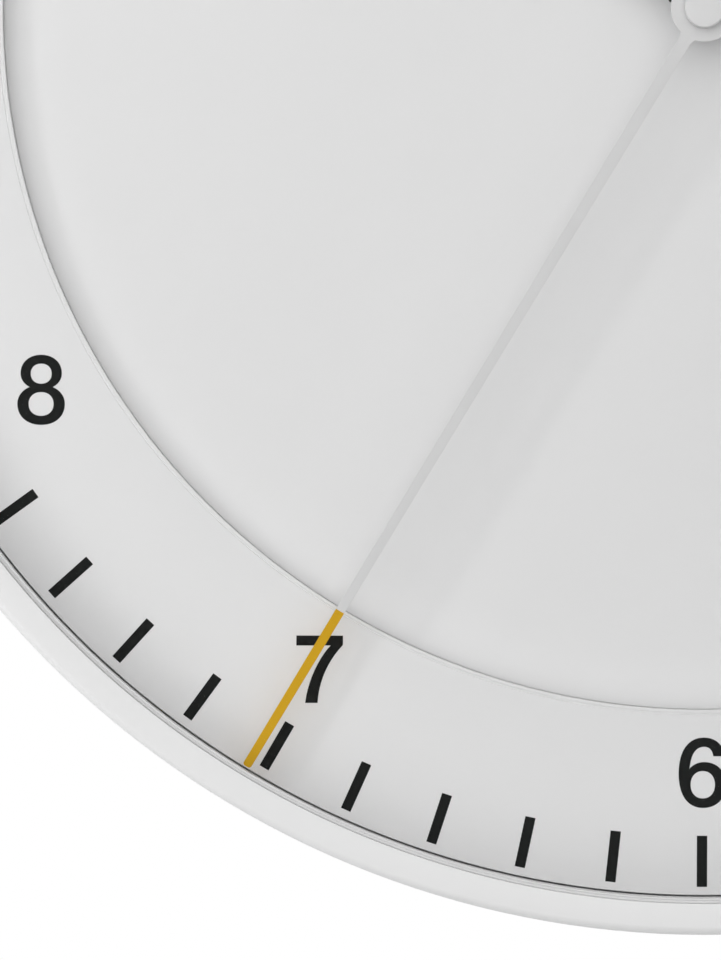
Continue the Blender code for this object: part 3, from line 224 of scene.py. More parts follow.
# %% One socket that can be added and multiplied
class Signal:
    """An output socket of a node tree that takes part in sums."""

    def __init__(self, tree, socket=None):
        self.tree = tree
        self.socket = socket

    def node(self, kind, settings=None, sockets=None, output=0):
        """Add a node and return one of its outputs, if it has any."""
        made = self.tree.nodes.new("ShaderNode" + kind)
        for key, value in (settings or {}).items():
            setattr(made, key, value)
        for key, value in (sockets or {}).items():
            if isinstance(value, Signal):
                self.tree.links.new(value.socket, made.inputs[key])
            else:
                made.inputs[key].default_value = value
        return Signal(self.tree, made.outputs[output] if made.outputs else None)

    def maths(self, operation, first, second):
        """Add a Math node for two values or signals."""
        return self.node("Math", {"operation": operation}, {0: first, 1: second})

    def __add__(self, other):
        return self.maths('ADD', self, other)

    def __radd__(self, other):
        return self.maths('ADD', other, self)

    def __sub__(self, other):
        return self.maths('SUBTRACT', self, other)

    def __rsub__(self, other):
        return self.maths('SUBTRACT', other, self)

    def __mul__(self, other):
        return self.maths('MULTIPLY', self, other)

    def __rmul__(self, other):
        return self.maths('MULTIPLY', other, self)

    def __gt__(self, other):
        return self.maths('GREATER_THAN', self, other)

    def __lt__(self, other):
        return self.maths('LESS_THAN', self, other)

    def feed(self, shader, name):
        """Lead this signal into a socket of a shader."""
        self.tree.links.new(self.socket, shader.inputs[name])


print("shader maths: Signal")

# %% [markdown]
# ## Patterns
#
# Moulded and painted surfaces differ by patterns of a few kinds: clouds of slow change, fine
# grain, and grain that is drawn out along one direction, as on rolled or brushed metal. All of
# them take the piece's own coordinates in metres, so a scale of 1000 makes cells of 1 mm and the
# pattern stays on the piece when it moves.

# %% Clouds, drawn grain, mixed colours and relief
def clouds(place, scale, detail=2.0):
    """A soft pattern between 0 and 1, with cells of 1/scale metres."""
    return place.node("TexNoise", {}, {"Vector": place, "Scale": scale, "Detail": detail}, "Fac")


def drawn(place, stretch, scale):
    """Grain that is drawn out: a small factor of stretch makes long marks along that direction."""
    longer = place.node("VectorMath", {"operation": 'MULTIPLY'}, {0: place, 1: stretch})
    return clouds(longer, scale, 3.0)


def blend(factor, first, second):
    """Mix two colours by a signal; sockets 6 and 7 of the Mix node are its two colours."""
    colours = {6: (*first, 1.0), 7: (*second, 1.0)}
    return factor.node("Mix", {"data_type": 'RGBA'}, {"Factor": factor, **colours}, 2)


def relief(height, depth):
    """A bump whose height runs over depth metres."""
    return height.node("Bump", {}, {"Height": height, "Distance": depth, "Strength": 1.0}, "Normal")


def tint(colour, factor):
    """The same colour, lighter or darker."""
    return tuple(min(1.0, part * factor) for part in colour)


def new_finish(name, colour, roughness, metallic=0.0, **constants):
    """A finish with one Principled shader, and the place signal its patterns start from."""
    finish = bpy.data.materials.new(name)
    finish.use_nodes = True
    tree = finish.node_tree
    shader = tree.nodes["Principled BSDF"]
    shader.inputs["Base Color"].default_value = (*colour, 1.0)
    shader.inputs["Roughness"].default_value = roughness
    shader.inputs["Metallic"].default_value = metallic
    for key, value in constants.items():
        shader.inputs[key.replace("_", " ")].default_value = value
    return finish, shader, Signal(tree).node("TexCoord", output="Object")


print("patterns: clouds, drawn, blend, relief")

# %% [markdown]
# ## Plastics
#
# The case, the dial, the rear panel and the works are all injection moulded. What tells one
# moulding from another is its skin: the case has the faint orange peel of a polished tool, the
# dial is sprayed matt so that it doesn't glare, and the rear panel and the movement have the
# fine spark-eroded grain that hides fingerprints. One function makes them all from four numbers.

# %% Moulded plastics
def moulded(name, colour, roughness, cell, depth, variation=0.02, **constants):
    """A plastic whose skin has cells of a size and a depth in millimetres."""
    finish, shader, place = new_finish(name, colour, roughness, **constants)
    slow = clouds(place, 45.0)
    skin = clouds(place, 1000.0 / cell, 3.0)
    blend(slow, tint(colour, 1 - variation), tint(colour, 1 + variation)).feed(shader, "Base Color")
    (roughness - 0.05 + 0.06 * skin + 0.04 * slow).feed(shader, "Roughness")
    relief(skin, depth * 0.001).feed(shader, "Normal")
    return finish


CASE_WHITE = moulded("case_white", (0.675, 0.675, 0.675), 0.40, 0.9, 0.006, 0.008,
                     Specular_IOR_Level=0.35)
DIAL_WHITE = moulded("dial_white", (0.88, 0.88, 0.88), 0.62, 0.30, 0.008, 0.008,
                     Specular_IOR_Level=0.25)
BACK_WHITE = moulded("back_plastic", (0.70, 0.70, 0.69), 0.52, 0.35, 0.03)
BLACK_PLASTIC = moulded("black_plastic", (0.030, 0.030, 0.032), 0.48, 0.30, 0.03)
NATURAL_PLASTIC = moulded("natural_plastic", (0.78, 0.76, 0.70), 0.40, 0.60, 0.008)
BUTTON_GREY = moulded("button_grey", (0.35, 0.35, 0.36), 0.50, 0.25, 0.02)
GREY_RUBBER = moulded("grey_rubber", (0.60, 0.60, 0.60), 0.80, 0.20, 0.02, 0.04)
GROUND_EDGE = moulded("ground_edge", (0.64, 0.64, 0.64), 0.75, 0.12, 0.01, 0.02,
                      Specular_IOR_Level=0.25)
CHIP_RESIN = moulded("chip_resin", (0.012, 0.012, 0.013), 0.30, 1.20, 0.05)
print("plastics:", CASE_WHITE.name, DIAL_WHITE.name, BACK_WHITE.name, BLACK_PLASTIC.name)

# %% [markdown]
# ## Ink and paint
#
# The numerals and marks are screen printed: a thick, dead matt ink whose film is a little
# thinner at the screen's threads, so its gloss varies from thread to thread, and its black is a
# shade deeper where the film is thick. The hands are stamped from thin aluminium and sprayed.
# Their grey has a satin gloss and the fine texture of spray paint, and the second hand's tip is
# dipped in a warm yellow over the same grey.

# %% Ink, hand paints and the yellow of the tip
def printed(name, colour, roughness):
    """Screen ink: thread marks in the gloss, and a film of slowly varying depth."""
    finish, shader, place = new_finish(name, colour, roughness, Specular_IOR_Level=0.12)
    threads = clouds(place, 6000.0, 1.0)
    film = clouds(place, 260.0)
    (roughness - 0.06 + 0.12 * threads).feed(shader, "Roughness")
    blend(film, tint(colour, 0.85), tint(colour, 1.15)).feed(shader, "Base Color")
    relief(threads, 0.000004).feed(shader, "Normal")
    return finish


def sprayed(name, colour, roughness, variation=0.015, **constants):
    """Spray paint on stamped metal: fine droplets and a slow wave in the colour."""
    finish, shader, place = new_finish(name, colour, roughness, **constants)
    droplets = clouds(place, 3200.0, 2.0)
    coat = clouds(place, 120.0)
    blend(coat, tint(colour, 1 - variation), tint(colour, 1 + variation)).feed(shader, "Base Color")
    (roughness - 0.06 + 0.12 * droplets).feed(shader, "Roughness")
    relief(droplets, 0.000010).feed(shader, "Normal")
    return finish


INK = printed("dial_ink", (0.009, 0.010, 0.0095), 0.60)
HAND_GREY = sprayed("hand_grey", (0.735, 0.735, 0.735), 0.46)
CAP_GREY = sprayed("cap_grey", (0.80, 0.80, 0.80), 0.38)
TIP_YELLOW = sprayed("tip_yellow", (0.71, 0.40, 0.008), 0.50, 0.03, Specular_IOR_Level=0.2)
HAND_BLACK = sprayed("hand_black", (0.014, 0.014, 0.014), 0.42)
print("paints:", INK.name, HAND_GREY.name, TIP_YELLOW.name, HAND_BLACK.name)

# %% [markdown]
# ## Metals, windings and the circuit board
#
# Zinc-plated steel is cloudy and slightly blue, and soft iron strip shows the fine lines of the
# rolling mill; both are a metal whose grain is drawn out along one direction. A winding is drawn
# as one plain body, so its wires are a fine wave across it, and its colour darkens in the grooves
# between the turns: that dark is painted shade. The board has a green solder mask with copper
# runs under it: thin lines between the cells of a pattern, which stand out only a little.

# %% Metals and electrical finishes
def plated(name, colour, roughness, stretch, scale, depth=0.004):
    """A metal with grain that is drawn along one direction."""
    finish, shader, place = new_finish(name, colour, roughness, metallic=1.0)
    grain = drawn(place, stretch, scale)
    bloom = clouds(place, 180.0, 3.0)
    blend(bloom, tint(colour, 0.88), tint(colour, 1.08)).feed(shader, "Base Color")
    (roughness - 0.10 + 0.12 * grain + 0.10 * bloom).feed(shader, "Roughness")
    relief(grain, depth * 0.001).feed(shader, "Normal")
    return finish


def wound(name, colour, pitch, direction):
    """Turns of wire of a pitch in millimetres, counted along one direction, with painted shade in the
    grooves between them.
    """
    finish, shader, place = new_finish(name, colour, 0.35, metallic=0.85)
    settings = {"wave_type": 'BANDS', "bands_direction": direction, "wave_profile": 'SIN'}
    sockets = {"Vector": place, "Scale": 314.0 / pitch, "Distortion": 0.4}
    turns = place.node("TexWave", settings, sockets, "Fac")
    # The wave darkens the copper to three tenths in the grooves between turns: painted shade.
    blend(turns, tint(colour, 0.30), colour).feed(shader, "Base Color")
    (0.50 - 0.20 * turns).feed(shader, "Roughness")
    relief(turns, 0.00006).feed(shader, "Normal")
    return finish


def soldered(name, colour):
    """Solder mask over copper runs."""
    finish, shader, place = new_finish(name, colour, 0.42)
    cells = place.node("TexVoronoi", {"feature": 'DISTANCE_TO_EDGE'},
                       {"Vector": place, "Scale": 260.0}, "Distance")
    runs = cells < 0.09
    blend(runs, colour, (0.10, 0.34, 0.12)).feed(shader, "Base Color")
    (0.45 - 0.12 * runs).feed(shader, "Roughness")
    relief(runs, 0.00003).feed(shader, "Normal")
    return finish


ZINC_STEEL = plated("zinc_steel", (0.62, 0.63, 0.65), 0.36, (1.0, 1.0, 0.15), 2400.0)
SOFT_IRON = plated("soft_iron", (0.42, 0.42, 0.43), 0.46, (0.1, 1.0, 1.0), 2000.0)
FERRITE = moulded("ferrite", (0.07, 0.065, 0.065), 0.70, 0.15, 0.03, 0.15)
COPPER_WIRE = wound("copper_wire", (0.62, 0.27, 0.12), 0.30, 'Z')
AERIAL_WIRE = wound("aerial_wire", (0.60, 0.24, 0.10), 0.40, 'X')
BOARD_GREEN = soldered("board_green", (0.03, 0.18, 0.07))
print("metals:", ZINC_STEEL.name, SOFT_IRON.name, COPPER_WIRE.name)

# %% [markdown]
# ## The lens
#
# The lens is clear and flat, and in the photograph it shows only as the fine lines of its edge:
# the printed black behind it stays black. Real glass lets light through without bending it much
# where it is flat, so a see-through shader with a thin layer of gloss over it is both closer and
# far quieter than glass that bends each ray. The gloss grows at a slanting view by Fresnel's law,
# and faint smears change how sharp it is. The ground rim of the glass is a finish of its own.

# %% Clear lens
def clear_lens():
    """A see-through sheet with a thin gloss over it."""
    finish = bpy.data.materials.new("clear_glass")
    finish.use_nodes = True
    tree = finish.node_tree
    tree.nodes.clear()
    start = Signal(tree)
    place = start.node("TexCoord", output="Object")
    smear = clouds(place, 30.0, 3.0)
    through = start.node("BsdfTransparent", {}, {"Color": (0.995, 0.995, 0.995, 1.0)})
    gloss = start.node("BsdfPrincipled", {}, {"Base Color": (0.0, 0.0, 0.0, 1.0), "Metallic": 0.0,
                                              "Roughness": 0.03 + 0.03 * smear, "IOR": 1.45})
    slant = start.node("Fresnel", {}, {"IOR": 1.12})
    mixed = start.node("MixShader", {}, {0: slant, 1: through, 2: gloss})
    start.node("OutputMaterial", {}, {"Surface": mixed})
    return finish


CLEAR_GLASS = clear_lens()
print("lens finish:", CLEAR_GLASS.name)

# %% [markdown]
# ## The case
#
# The case is one white moulding: a short tube with a flat front face, rounded at its outer edge
# and finely broken at its inner edge, where the lens is let in. Inside, a narrow ledge carries
# the lens. The wall of the well below it is given the matt, lighter white of the dial, so it
# throws more light back on the chapter ring, and the lighter colour is also painted light that
# lifts the shade inside the well. All of that is one outline, turned with 256 facets so that the
# rim stays round even when it fills the picture. The four screw bosses behind the dial are joined
# on as round bars. The well could be a piece of its own, but it is the same moulding with another
# skin, so its faces only get a second finish.

# %% Sizes of the case
CASE_RADIUS = reach("case")
CASE_FRONT = heights("case")[1]
LEDGE = heights("lens_gasket")[0] - 0.3
WELL_FOOT = heights("dial_disc")[1] + 0.3
CASE_BORE = 147.3
LEDGE_RADIUS = 144.2
SEAT_RADIUS = 144.94
OUTER_ROUND = 1.3
INNER_ROUND = 0.15
SCREW_CIRCLE = 144.2
SCREW_PLACES = [(SCREW_CIRCLE * math.cos(turn), SCREW_CIRCLE * math.sin(turn))
                for turn in map(math.radians, (45, 135, 225, 315))]
print(f"case radius {CASE_RADIUS:.1f} mm, lens seat {SEAT_RADIUS} mm, ledge {LEDGE:.2f} mm up")


# %% Round bars and second finishes
def drill(x, y, radius, bottom, top):
    """A plain round bar, to cut or to join."""
    return moved(lathe([(0, bottom), (radius, bottom), (radius, top), (0, top)], 32), x, y)


def second_finish(bm, belongs):
    """Give a drawing's second finish to the faces whose middle passes a test."""
    chosen = [face for face in bm.faces if belongs(*face.calc_center_median())]
    for face in chosen:
        face.material_index = 1
    print("faces with the second finish:", len(chosen))


print("bars and finishes: drill, second_finish")

# %% Case
outline = [(CASE_BORE, 0.0), *arc((CASE_RADIUS - 0.4, 0.4), 0.4, -90, 0, 3),
           *arc((CASE_RADIUS - OUTER_ROUND, CASE_FRONT - OUTER_ROUND), OUTER_ROUND, 0, 90, 10),
           *arc((SEAT_RADIUS + INNER_ROUND, CASE_FRONT - INNER_ROUND), INNER_ROUND, 90, 180, 4),
           (SEAT_RADIUS, LEDGE), *arc((LEDGE_RADIUS + 0.08, LEDGE - 0.08), 0.08, 90, 180, 2),
           (LEDGE_RADIUS, WELL_FOOT), (CASE_BORE, WELL_FOOT)]
boss_rear = heights("rear_panel")[0] + 2.3
bosses = [drill(x, y, 4.0, boss_rear, boss_rear + 16) for x, y in SCREW_PLACES]
case = carve(lathe(outline, 256), bosses, 'UNION')
# The well's wall is the case's own plastic but gets the dial's lighter white: painted light that lifts
# the shade in the well.
second_finish(case, lambda x, y, z: (math.hypot(x, y) < LEDGE_RADIUS + 0.02
                                     and WELL_FOOT < z < LEDGE))
add_piece("case_moulding", case, [CASE_WHITE, DIAL_WHITE], "clock_body", ["case"])

# %% [markdown]
# ## Lens and gasket
#
# The lens is a 2 mm disc. Its rim is ground matt, with a fine scored line in it, and that is the
# pale double band beside the case. The lens lies on a thin round gasket. Both the clear and the
# ground part are one turned outline, and the faces beyond a radius get the matt finish.

# %% Lens
lens_rear, lens_front = heights("lens")
LENS_EDGE = SEAT_RADIUS - 0.02
GROUND_FROM = 144.12
score = [(GROUND_FROM + 0.44, lens_front), (GROUND_FROM + 0.38, lens_front - 0.12),
         (GROUND_FROM + 0.28, lens_front - 0.12), (GROUND_FROM + 0.22, lens_front - 0.01)]
lens = lathe([(0, lens_rear), (LENS_EDGE - 0.1, lens_rear), (LENS_EDGE, lens_rear + 0.1),
              (LENS_EDGE, lens_front - 0.12), (LENS_EDGE - 0.10, lens_front - 0.02), *score,
              (GROUND_FROM, lens_front), (0, lens_front)], 256)
second_finish(lens, lambda x, y, z: math.hypot(x, y) > GROUND_FROM and z > lens_front - 0.2)
add_piece("lens_disc", lens, [CLEAR_GLASS, GROUND_EDGE], "clock_body", ["lens"])

# %% Gasket
SEAL_INNER = 144.32
SEAL_OUTER = 144.88
seal_rear, seal_front = heights("lens_gasket")
gasket = lathe([(SEAL_INNER, seal_rear), (SEAL_OUTER, seal_rear), (SEAL_OUTER, seal_front - 0.08),
                (SEAL_OUTER - 0.08, seal_front), (SEAL_INNER + 0.08, seal_front),
                (SEAL_INNER, seal_front - 0.08)], 256)
add_piece("lens_seal", gasket, [GREY_RUBBER], "clock_body", ["lens_gasket"])

# %% [markdown]
# ## Dial disc and chapter ring
#
# The dial is in two levels. The centre is a flat disc, and the ring that carries the numerals
# stands 3.2 mm proud of it. The ring's inner edge isn't a bare corner: it has a small rounding,
# then a hairline groove, and then the flat, and the disc has a seam where the ring meets it.
# Those few tenths of a millimetre make the fine double line that runs round the recess, so they
# are in the outline and not in a bump map.

# %% Dial disc
disc_rear, disc_front = heights("dial_disc")
DISC_HOLE = 3.64
DISC_RADIUS = 146.9
SEAM_DEPTH = 0.25
seam = [(114.00, disc_front), (113.94, disc_front - SEAM_DEPTH),
        (113.80, disc_front - SEAM_DEPTH), (113.74, disc_front)]
disc = lathe([(DISC_HOLE, disc_rear), (DISC_RADIUS, disc_rear), (DISC_RADIUS, disc_front),
              *seam, (DISC_HOLE, disc_front)], 256)
add_piece("dial_centre", disc, [DIAL_WHITE], "clock_body", ["dial_disc"])

# %% Chapter ring
ring_rear, ring_front = heights("chapter_ring")
RING_INNER = 113.85
RING_OUTER = reach("chapter_ring")
GROOVE_DEPTH = 0.22
groove = [(RING_INNER + 0.84, ring_front), (RING_INNER + 0.76, ring_front - GROOVE_DEPTH),
          (RING_INNER + 0.56, ring_front - GROOVE_DEPTH), (RING_INNER + 0.48, ring_front)]
ring = lathe([(RING_INNER, ring_rear), (RING_OUTER, ring_rear),
              *arc((RING_OUTER - 0.08, ring_front - 0.08), 0.08, 0, 90, 3), *groove,
              *arc((RING_INNER + 0.10, ring_front - 0.10), 0.10, 90, 180, 4)], 256)
add_piece("chapter_moulding", ring, [DIAL_WHITE], "clock_body", ["chapter_ring"])

# %% [markdown]
# ## Minute marks
#
# Sixty equal bars stand round the ring, one every six degrees, with no bolder hour marks. They
# are printed, so they are a film of ink: each bar is a flat slab that stands 0.03 mm proud of the
# ring. A real film is thin enough to feel flat and thick enough to hold a sharp edge. A printing
# plate never meets its work quite true either: here it is turned by a fifth of a degree and sits
# 0.3 mm off the axis, and the numerals follow it, because they come from the same plate.

# %% Printing plate
INK_REAR = ring_front - 0.02
INK_FRONT = ring_front + 0.03
PRINT_TURN = 0.215
PRINT_SHIFT = (0.22, -0.23)


def together(drawings):
    """Lay several drawings on one board."""
    whole = bmesh.new()
    for drawing in drawings:
        sheet = bpy.data.meshes.new("drawing")
        drawing.to_mesh(sheet)
        whole.from_mesh(sheet)
        drawing.free()
        bpy.data.meshes.remove(sheet)
    return whole


def registered(drawings):
    """Print drawings where the plate met the ring, a hair off true."""
    return moved(together(drawings), *PRINT_SHIFT, clockwise=PRINT_TURN)


print("printing plate turned by", PRINT_TURN, "degrees, shifted by", PRINT_SHIFT, "mm")


# %% Minute marks
def rectangle(left, right, bottom, top):
    """The four corners of a plain rectangle."""
    return [(left, bottom), (right, bottom), (right, top), (left, top)]


MARK_INNER = 134.05
MARK_OUTER = 142.35
MARK_WIDTH = 1.68
bar = rectangle(-MARK_WIDTH / 2, MARK_WIDTH / 2, MARK_INNER, MARK_OUTER)
bars = [moved(slab([bar], INK_REAR, INK_FRONT), clockwise=6 * minute) for minute in range(60)]
add_piece("minute_marks", registered(bars), [INK], "clock_body")

# %% [markdown]
# ## Numerals
#
# The numerals are a plain grotesque of medium weight. A font file would be one way, but only
# what the script draws itself is sure to look the same everywhere, and ten digits are soon drawn.
# Each is one or more closed outlines in units of the flat digit's height: the first is the shape
# and the others are its counters. Round digits overshoot the flat ones by two hundredths, or they
# would look too small. Curves are cubic, with their ends level or upright at each extreme. Wet
# ink spreads a little as it is pressed, which also fills a letter's sharp inner corners, so each
# outline grows by the ink's gain before it is printed.

# %% Curves for the digits
DIGIT_HEIGHT = 10.80
INK_GAIN = 0.07


def curve(*points, steps=10):
    """A chain of cubic curves: a start, then two handles and an end for each."""
    path = [points[0]]
    for k in range(0, len(points) - 1, 3):
        a, b, c, d = points[k:k + 4]
        for step in range(1, steps + 1):
            t = step / steps
            s = 1 - t
            path.append(tuple(s ** 3 * a[i] + 3 * s * s * t * b[i]
                              + 3 * s * t * t * c[i] + t ** 3 * d[i] for i in (0, 1)))
    return path


def oval(x, y, across, up, fullness=2.15, steps=48):
    """A closed oval that is a little squarer than an ellipse."""
    path = []
    for k in range(steps):
        c, s = math.cos(math.tau * k / steps), math.sin(math.tau * k / steps)
        path.append((x + across * math.copysign(abs(c) ** (2 / fullness), c),
                     y + up * math.copysign(abs(s) ** (2 / fullness), s)))
    return path


def pressed(loop, hole):
    """Press the ink out sideways: an outer outline grows by the gain and a counter closes by it."""
    area = sum(a[0] * b[1] - b[0] * a[1] for a, b in zip(loop, loop[1:] + loop[:1]))
    side = INK_GAIN / DIGIT_HEIGHT * (1 if area > 0 else -1) * (-1 if hole else 1)
    path = []
    for before, here, after in zip(loop[-1:] + loop[:-1], loop, loop[1:] + loop[:1]):
        into = Vector((here[0] - before[0], here[1] - before[1])).normalized()
        away = Vector((after[0] - here[0], after[1] - here[1])).normalized()
        normal = Vector((into.y + away.y, -into.x - away.x)) / max(0.5, 1 + into.dot(away))
        path.append((here[0] + side * normal.x, here[1] + side * normal.y))
    return path


def half_turn(loops):
    """The same outlines upside down, as a nine is to a six."""
    return [[(-x, 1 - y) for x, y in loop] for loop in loops]


print("curves for the digits")

# %% Digits from nought to four
DIGITS = {
    "0": [oval(0, 0.5, 0.345, 0.522, 2.25), oval(0, 0.5, 0.200, 0.405, 2.2)],
    "1": [[(0.105, 0.0), (0.105, 1.0),
           *curve((-0.010, 1.0), (-0.030, 0.885), (-0.105, 0.835), (-0.235, 0.832)),
           (-0.235, 0.722), (-0.040, 0.722), (-0.040, 0.0)]],
    "2": [[(-0.352, 0.0), (0.335, 0.0), (0.335, 0.128),
           *curve((-0.160, 0.128), (-0.085, 0.290), (0.335, 0.360), (0.335, 0.722),
                  (0.335, 0.900), (0.200, 1.022), (0.005, 1.022),
                  (-0.215, 1.022), (-0.335, 0.885), (-0.330, 0.655)),
           *curve((-0.192, 0.655), (-0.192, 0.815), (-0.125, 0.905), (0.000, 0.905),
                  (0.115, 0.905), (0.190, 0.830), (0.190, 0.715),
                  (0.190, 0.430), (-0.345, 0.395), (-0.352, 0.0))[:-1]]],
    "3": [curve((-0.350, 0.310), (-0.350, 0.105), (-0.215, -0.021), (-0.005, -0.021),
                (0.205, -0.021), (0.350, 0.100), (0.350, 0.285),
                (0.350, 0.420), (0.285, 0.505), (0.165, 0.535),
                (0.260, 0.575), (0.310, 0.655), (0.310, 0.760),
                (0.310, 0.920), (0.185, 1.022), (0.000, 1.022),
                (-0.195, 1.022), (-0.315, 0.905), (-0.322, 0.700))
          + curve((-0.188, 0.700), (-0.180, 0.835), (-0.115, 0.910), (-0.005, 0.910),
                  (0.100, 0.910), (0.168, 0.845), (0.168, 0.752),
                  (0.168, 0.640), (0.085, 0.588), (-0.070, 0.592))
          + curve((-0.070, 0.478), (0.110, 0.485), (0.204, 0.410), (0.204, 0.285),
                  (0.204, 0.165), (0.120, 0.092), (-0.002, 0.092),
                  (-0.125, 0.092), (-0.205, 0.175), (-0.208, 0.310))],
    "4": [[(0.062, 0.0), (0.197, 0.0), (0.197, 0.235), (0.338, 0.235), (0.338, 0.350),
           (0.197, 0.350), (0.197, 1.0), (0.075, 1.0), (-0.358, 0.372), (-0.358, 0.235),
           (0.062, 0.235)],
          [(0.062, 0.350), (-0.238, 0.350), (0.062, 0.795)]],
}
print("digits drawn:", " ".join(DIGITS))

# %% Digits from five to nine
SIX = [
    curve((0.335, 0.758), (0.305, 0.925), (0.195, 1.0256), (0.022, 1.0256),
          (-0.215, 1.0256), (-0.350, 0.825), (-0.350, 0.490),
          (-0.350, 0.165), (-0.215, -0.021), (0.010, -0.021),
          (0.215, -0.021), (0.350, 0.120), (0.350, 0.325),
          (0.350, 0.525), (0.220, 0.657), (0.030, 0.657),
          (-0.065, 0.657), (-0.145, 0.615), (-0.198, 0.549),
          (-0.185, 0.780), (-0.105, 0.899), (0.026, 0.899),
          (0.105, 0.899), (0.155, 0.850), (0.170, 0.758)),
    oval(0.0075, 0.3226, 0.1895, 0.212),
]
DIGITS |= {
    "5": [curve((-0.345, 0.285), (-0.325, 0.100), (-0.200, -0.021), (-0.010, -0.021),
                (0.205, -0.021), (0.350, 0.125), (0.350, 0.335),
                (0.350, 0.530), (0.220, 0.665), (0.040, 0.665),
                (-0.030, 0.665), (-0.100, 0.640), (-0.145, 0.600))
          + [(-0.108, 0.873), (0.300, 0.873), (0.300, 1.0), (-0.222, 1.0),
             (-0.305, 0.460), (-0.178, 0.460)]
          + curve((-0.178, 0.460), (-0.140, 0.520), (-0.080, 0.553), (-0.005, 0.553),
                  (0.118, 0.553), (0.203, 0.460), (0.203, 0.330),
                  (0.203, 0.190), (0.118, 0.092), (-0.005, 0.092),
                  (-0.110, 0.092), (-0.190, 0.165), (-0.202, 0.285))[1:]],
    "6": SIX,
    "7": [[(-0.374, 0.863), (-0.374, 1.0), (0.314, 1.0),
           *curve((0.314, 0.870), (0.110, 0.655), (-0.045, 0.350), (-0.065, 0.0)),
           *curve((-0.238, 0.0), (-0.200, 0.330), (-0.030, 0.680), (0.146, 0.863))]],
    "8": [curve((0.160, 0.541), (0.275, 0.500), (0.351, 0.405), (0.351, 0.290),
                (0.351, 0.105), (0.215, -0.021), (0.000, -0.021),
                (-0.215, -0.021), (-0.351, 0.105), (-0.351, 0.290),
                (-0.351, 0.405), (-0.275, 0.500), (-0.160, 0.541),
                (-0.255, 0.588), (-0.304, 0.660), (-0.304, 0.752),
                (-0.304, 0.910), (-0.178, 1.021), (0.000, 1.021),
                (0.178, 1.021), (0.304, 0.910), (0.304, 0.752),
                (0.304, 0.660), (0.255, 0.588), (0.160, 0.541))[:-1],
          oval(0, 0.743, 0.164, 0.157), oval(0, 0.2875, 0.194, 0.185)],
    "9": half_turn(SIX),
}
print("digits drawn:", " ".join(DIGITS))

# %% [markdown]
# The numerals stand upright at their hours, all on one circle, and the two digits of ten, eleven
# and twelve are set at one pitch. The artwork was placed by eye: the six, the seven and the eight
# are up to a quarter of a millimetre off their circle, and NUDGE holds by how much to the right
# and upwards.

# %% Numerals on the ring
DIGIT_PITCH = 8.40
NUMERAL_RADIUS = 124.06
NUDGE = {6: (0.0, 0.22), 7: (0.14, 0.20), 8: (-0.16, 0.0)}


def glyph(digit, x, y):
    """One printed digit whose middle is at x, y."""
    inked = [pressed(loop, k > 0) for k, loop in enumerate(DIGITS[digit])]
    loops = [[(px * DIGIT_HEIGHT, (py - 0.5) * DIGIT_HEIGHT) for px, py in loop] for loop in inked]
    return moved(slab(loops, INK_REAR, INK_FRONT), x, y)


for hour in range(1, 13):
    numeral = str(hour)
    angle = math.radians(30 * hour)
    aside, up = NUDGE.get(hour, (0, 0))
    middle = NUMERAL_RADIUS * math.sin(angle) + aside - (len(numeral) - 1) / 2 * DIGIT_PITCH
    level = NUMERAL_RADIUS * math.cos(angle) + up
    glyphs = [glyph(digit, middle + k * DIGIT_PITCH, level) for k, digit in enumerate(numeral)]
    add_piece(f"numeral_{hour:02d}", registered(glyphs), [INK], "clock_body")

# %% [markdown]
# ## Hands
#
# All three hands are stamped from sheet. The second hand is a slim blade that runs out of a
# round hub with hardly a corner between them, tapers a little faster near the hub than near the
# tip, and ends in a rounded tip just short of the rim. Its last 30 mm are yellow. The outline is
# drawn pointing to twelve and then turned to where the solid points, which is measured.

# %% Outline of a hand
def pointing(node):
    """Clockwise direction of a hand's solid in degrees, its length and its hub's radius."""
    points = [(v.co.x * 1000, (v.co.z - AXIS_Z) * 1000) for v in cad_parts[node].data.vertices]
    length = max(math.hypot(*p) for p in points)
    tips = [p for p in points if math.hypot(*p) > 0.97 * length]
    x = sum(p[0] for p in tips)
    y = sum(p[1] for p in tips)
    hub = max(math.hypot(*p) for p in points if p[0] * x + p[1] * y < 0)
    return math.degrees(math.atan2(x, y)) % 360, length, hub


def bore(radius):
    """A round hole about the axis, as a loop."""
    return arc((0, 0), radius, 0, 345, 23)


def hand_outline(hub, half_width, length, fillet, tip):
    """Hub and blade in one loop; half_width gives half the blade's width at a radius."""
    def flank(t):
        flare = min(1.0, max(0.0, (hub + fillet - t) / fillet))
        return half_width(t) + 0.30 * fillet * flare ** 2

    start = next(k * 0.02 for k in range(1000) if math.hypot(k * 0.02, flank(k * 0.02)) >= hub)
    near = [start + fillet * 1.1 * k / 8 for k in range(9)]
    along = [near[-1] + (length - tip - near[-1]) * k / 24 for k in range(1, 25)]
    right = [(flank(t), t) for t in near + along]
    spread = math.degrees(math.atan2(right[0][0], right[0][1]))
    round_hub = arc((0, 0), hub, 90 + spread, 450 - spread, 72)[1:-1]
    end = half_width(length)
    corner = arc((end - tip, length - tip), tip, 0, 90, 4)[1:]
    left = [(-x, y) for x, y in (right + corner)[::-1]]
    return round_hub + right + corner + left


print("second hand points to", pointing("second_hand"))

# %% Second hand
second_turn, SECOND_LENGTH, second_hub = pointing("second_hand")
second_rear, second_front = heights("second_hand")
YELLOW_START = 114.2


def second_half_width(t):
    """Half the blade's width at t mm from the axis: 1.45 mm wide at the tip, 2.15 mm at the hub."""
    return 0.725 + 0.35 * (1 - min(t, SECOND_LENGTH) / SECOND_LENGTH) ** 1.4


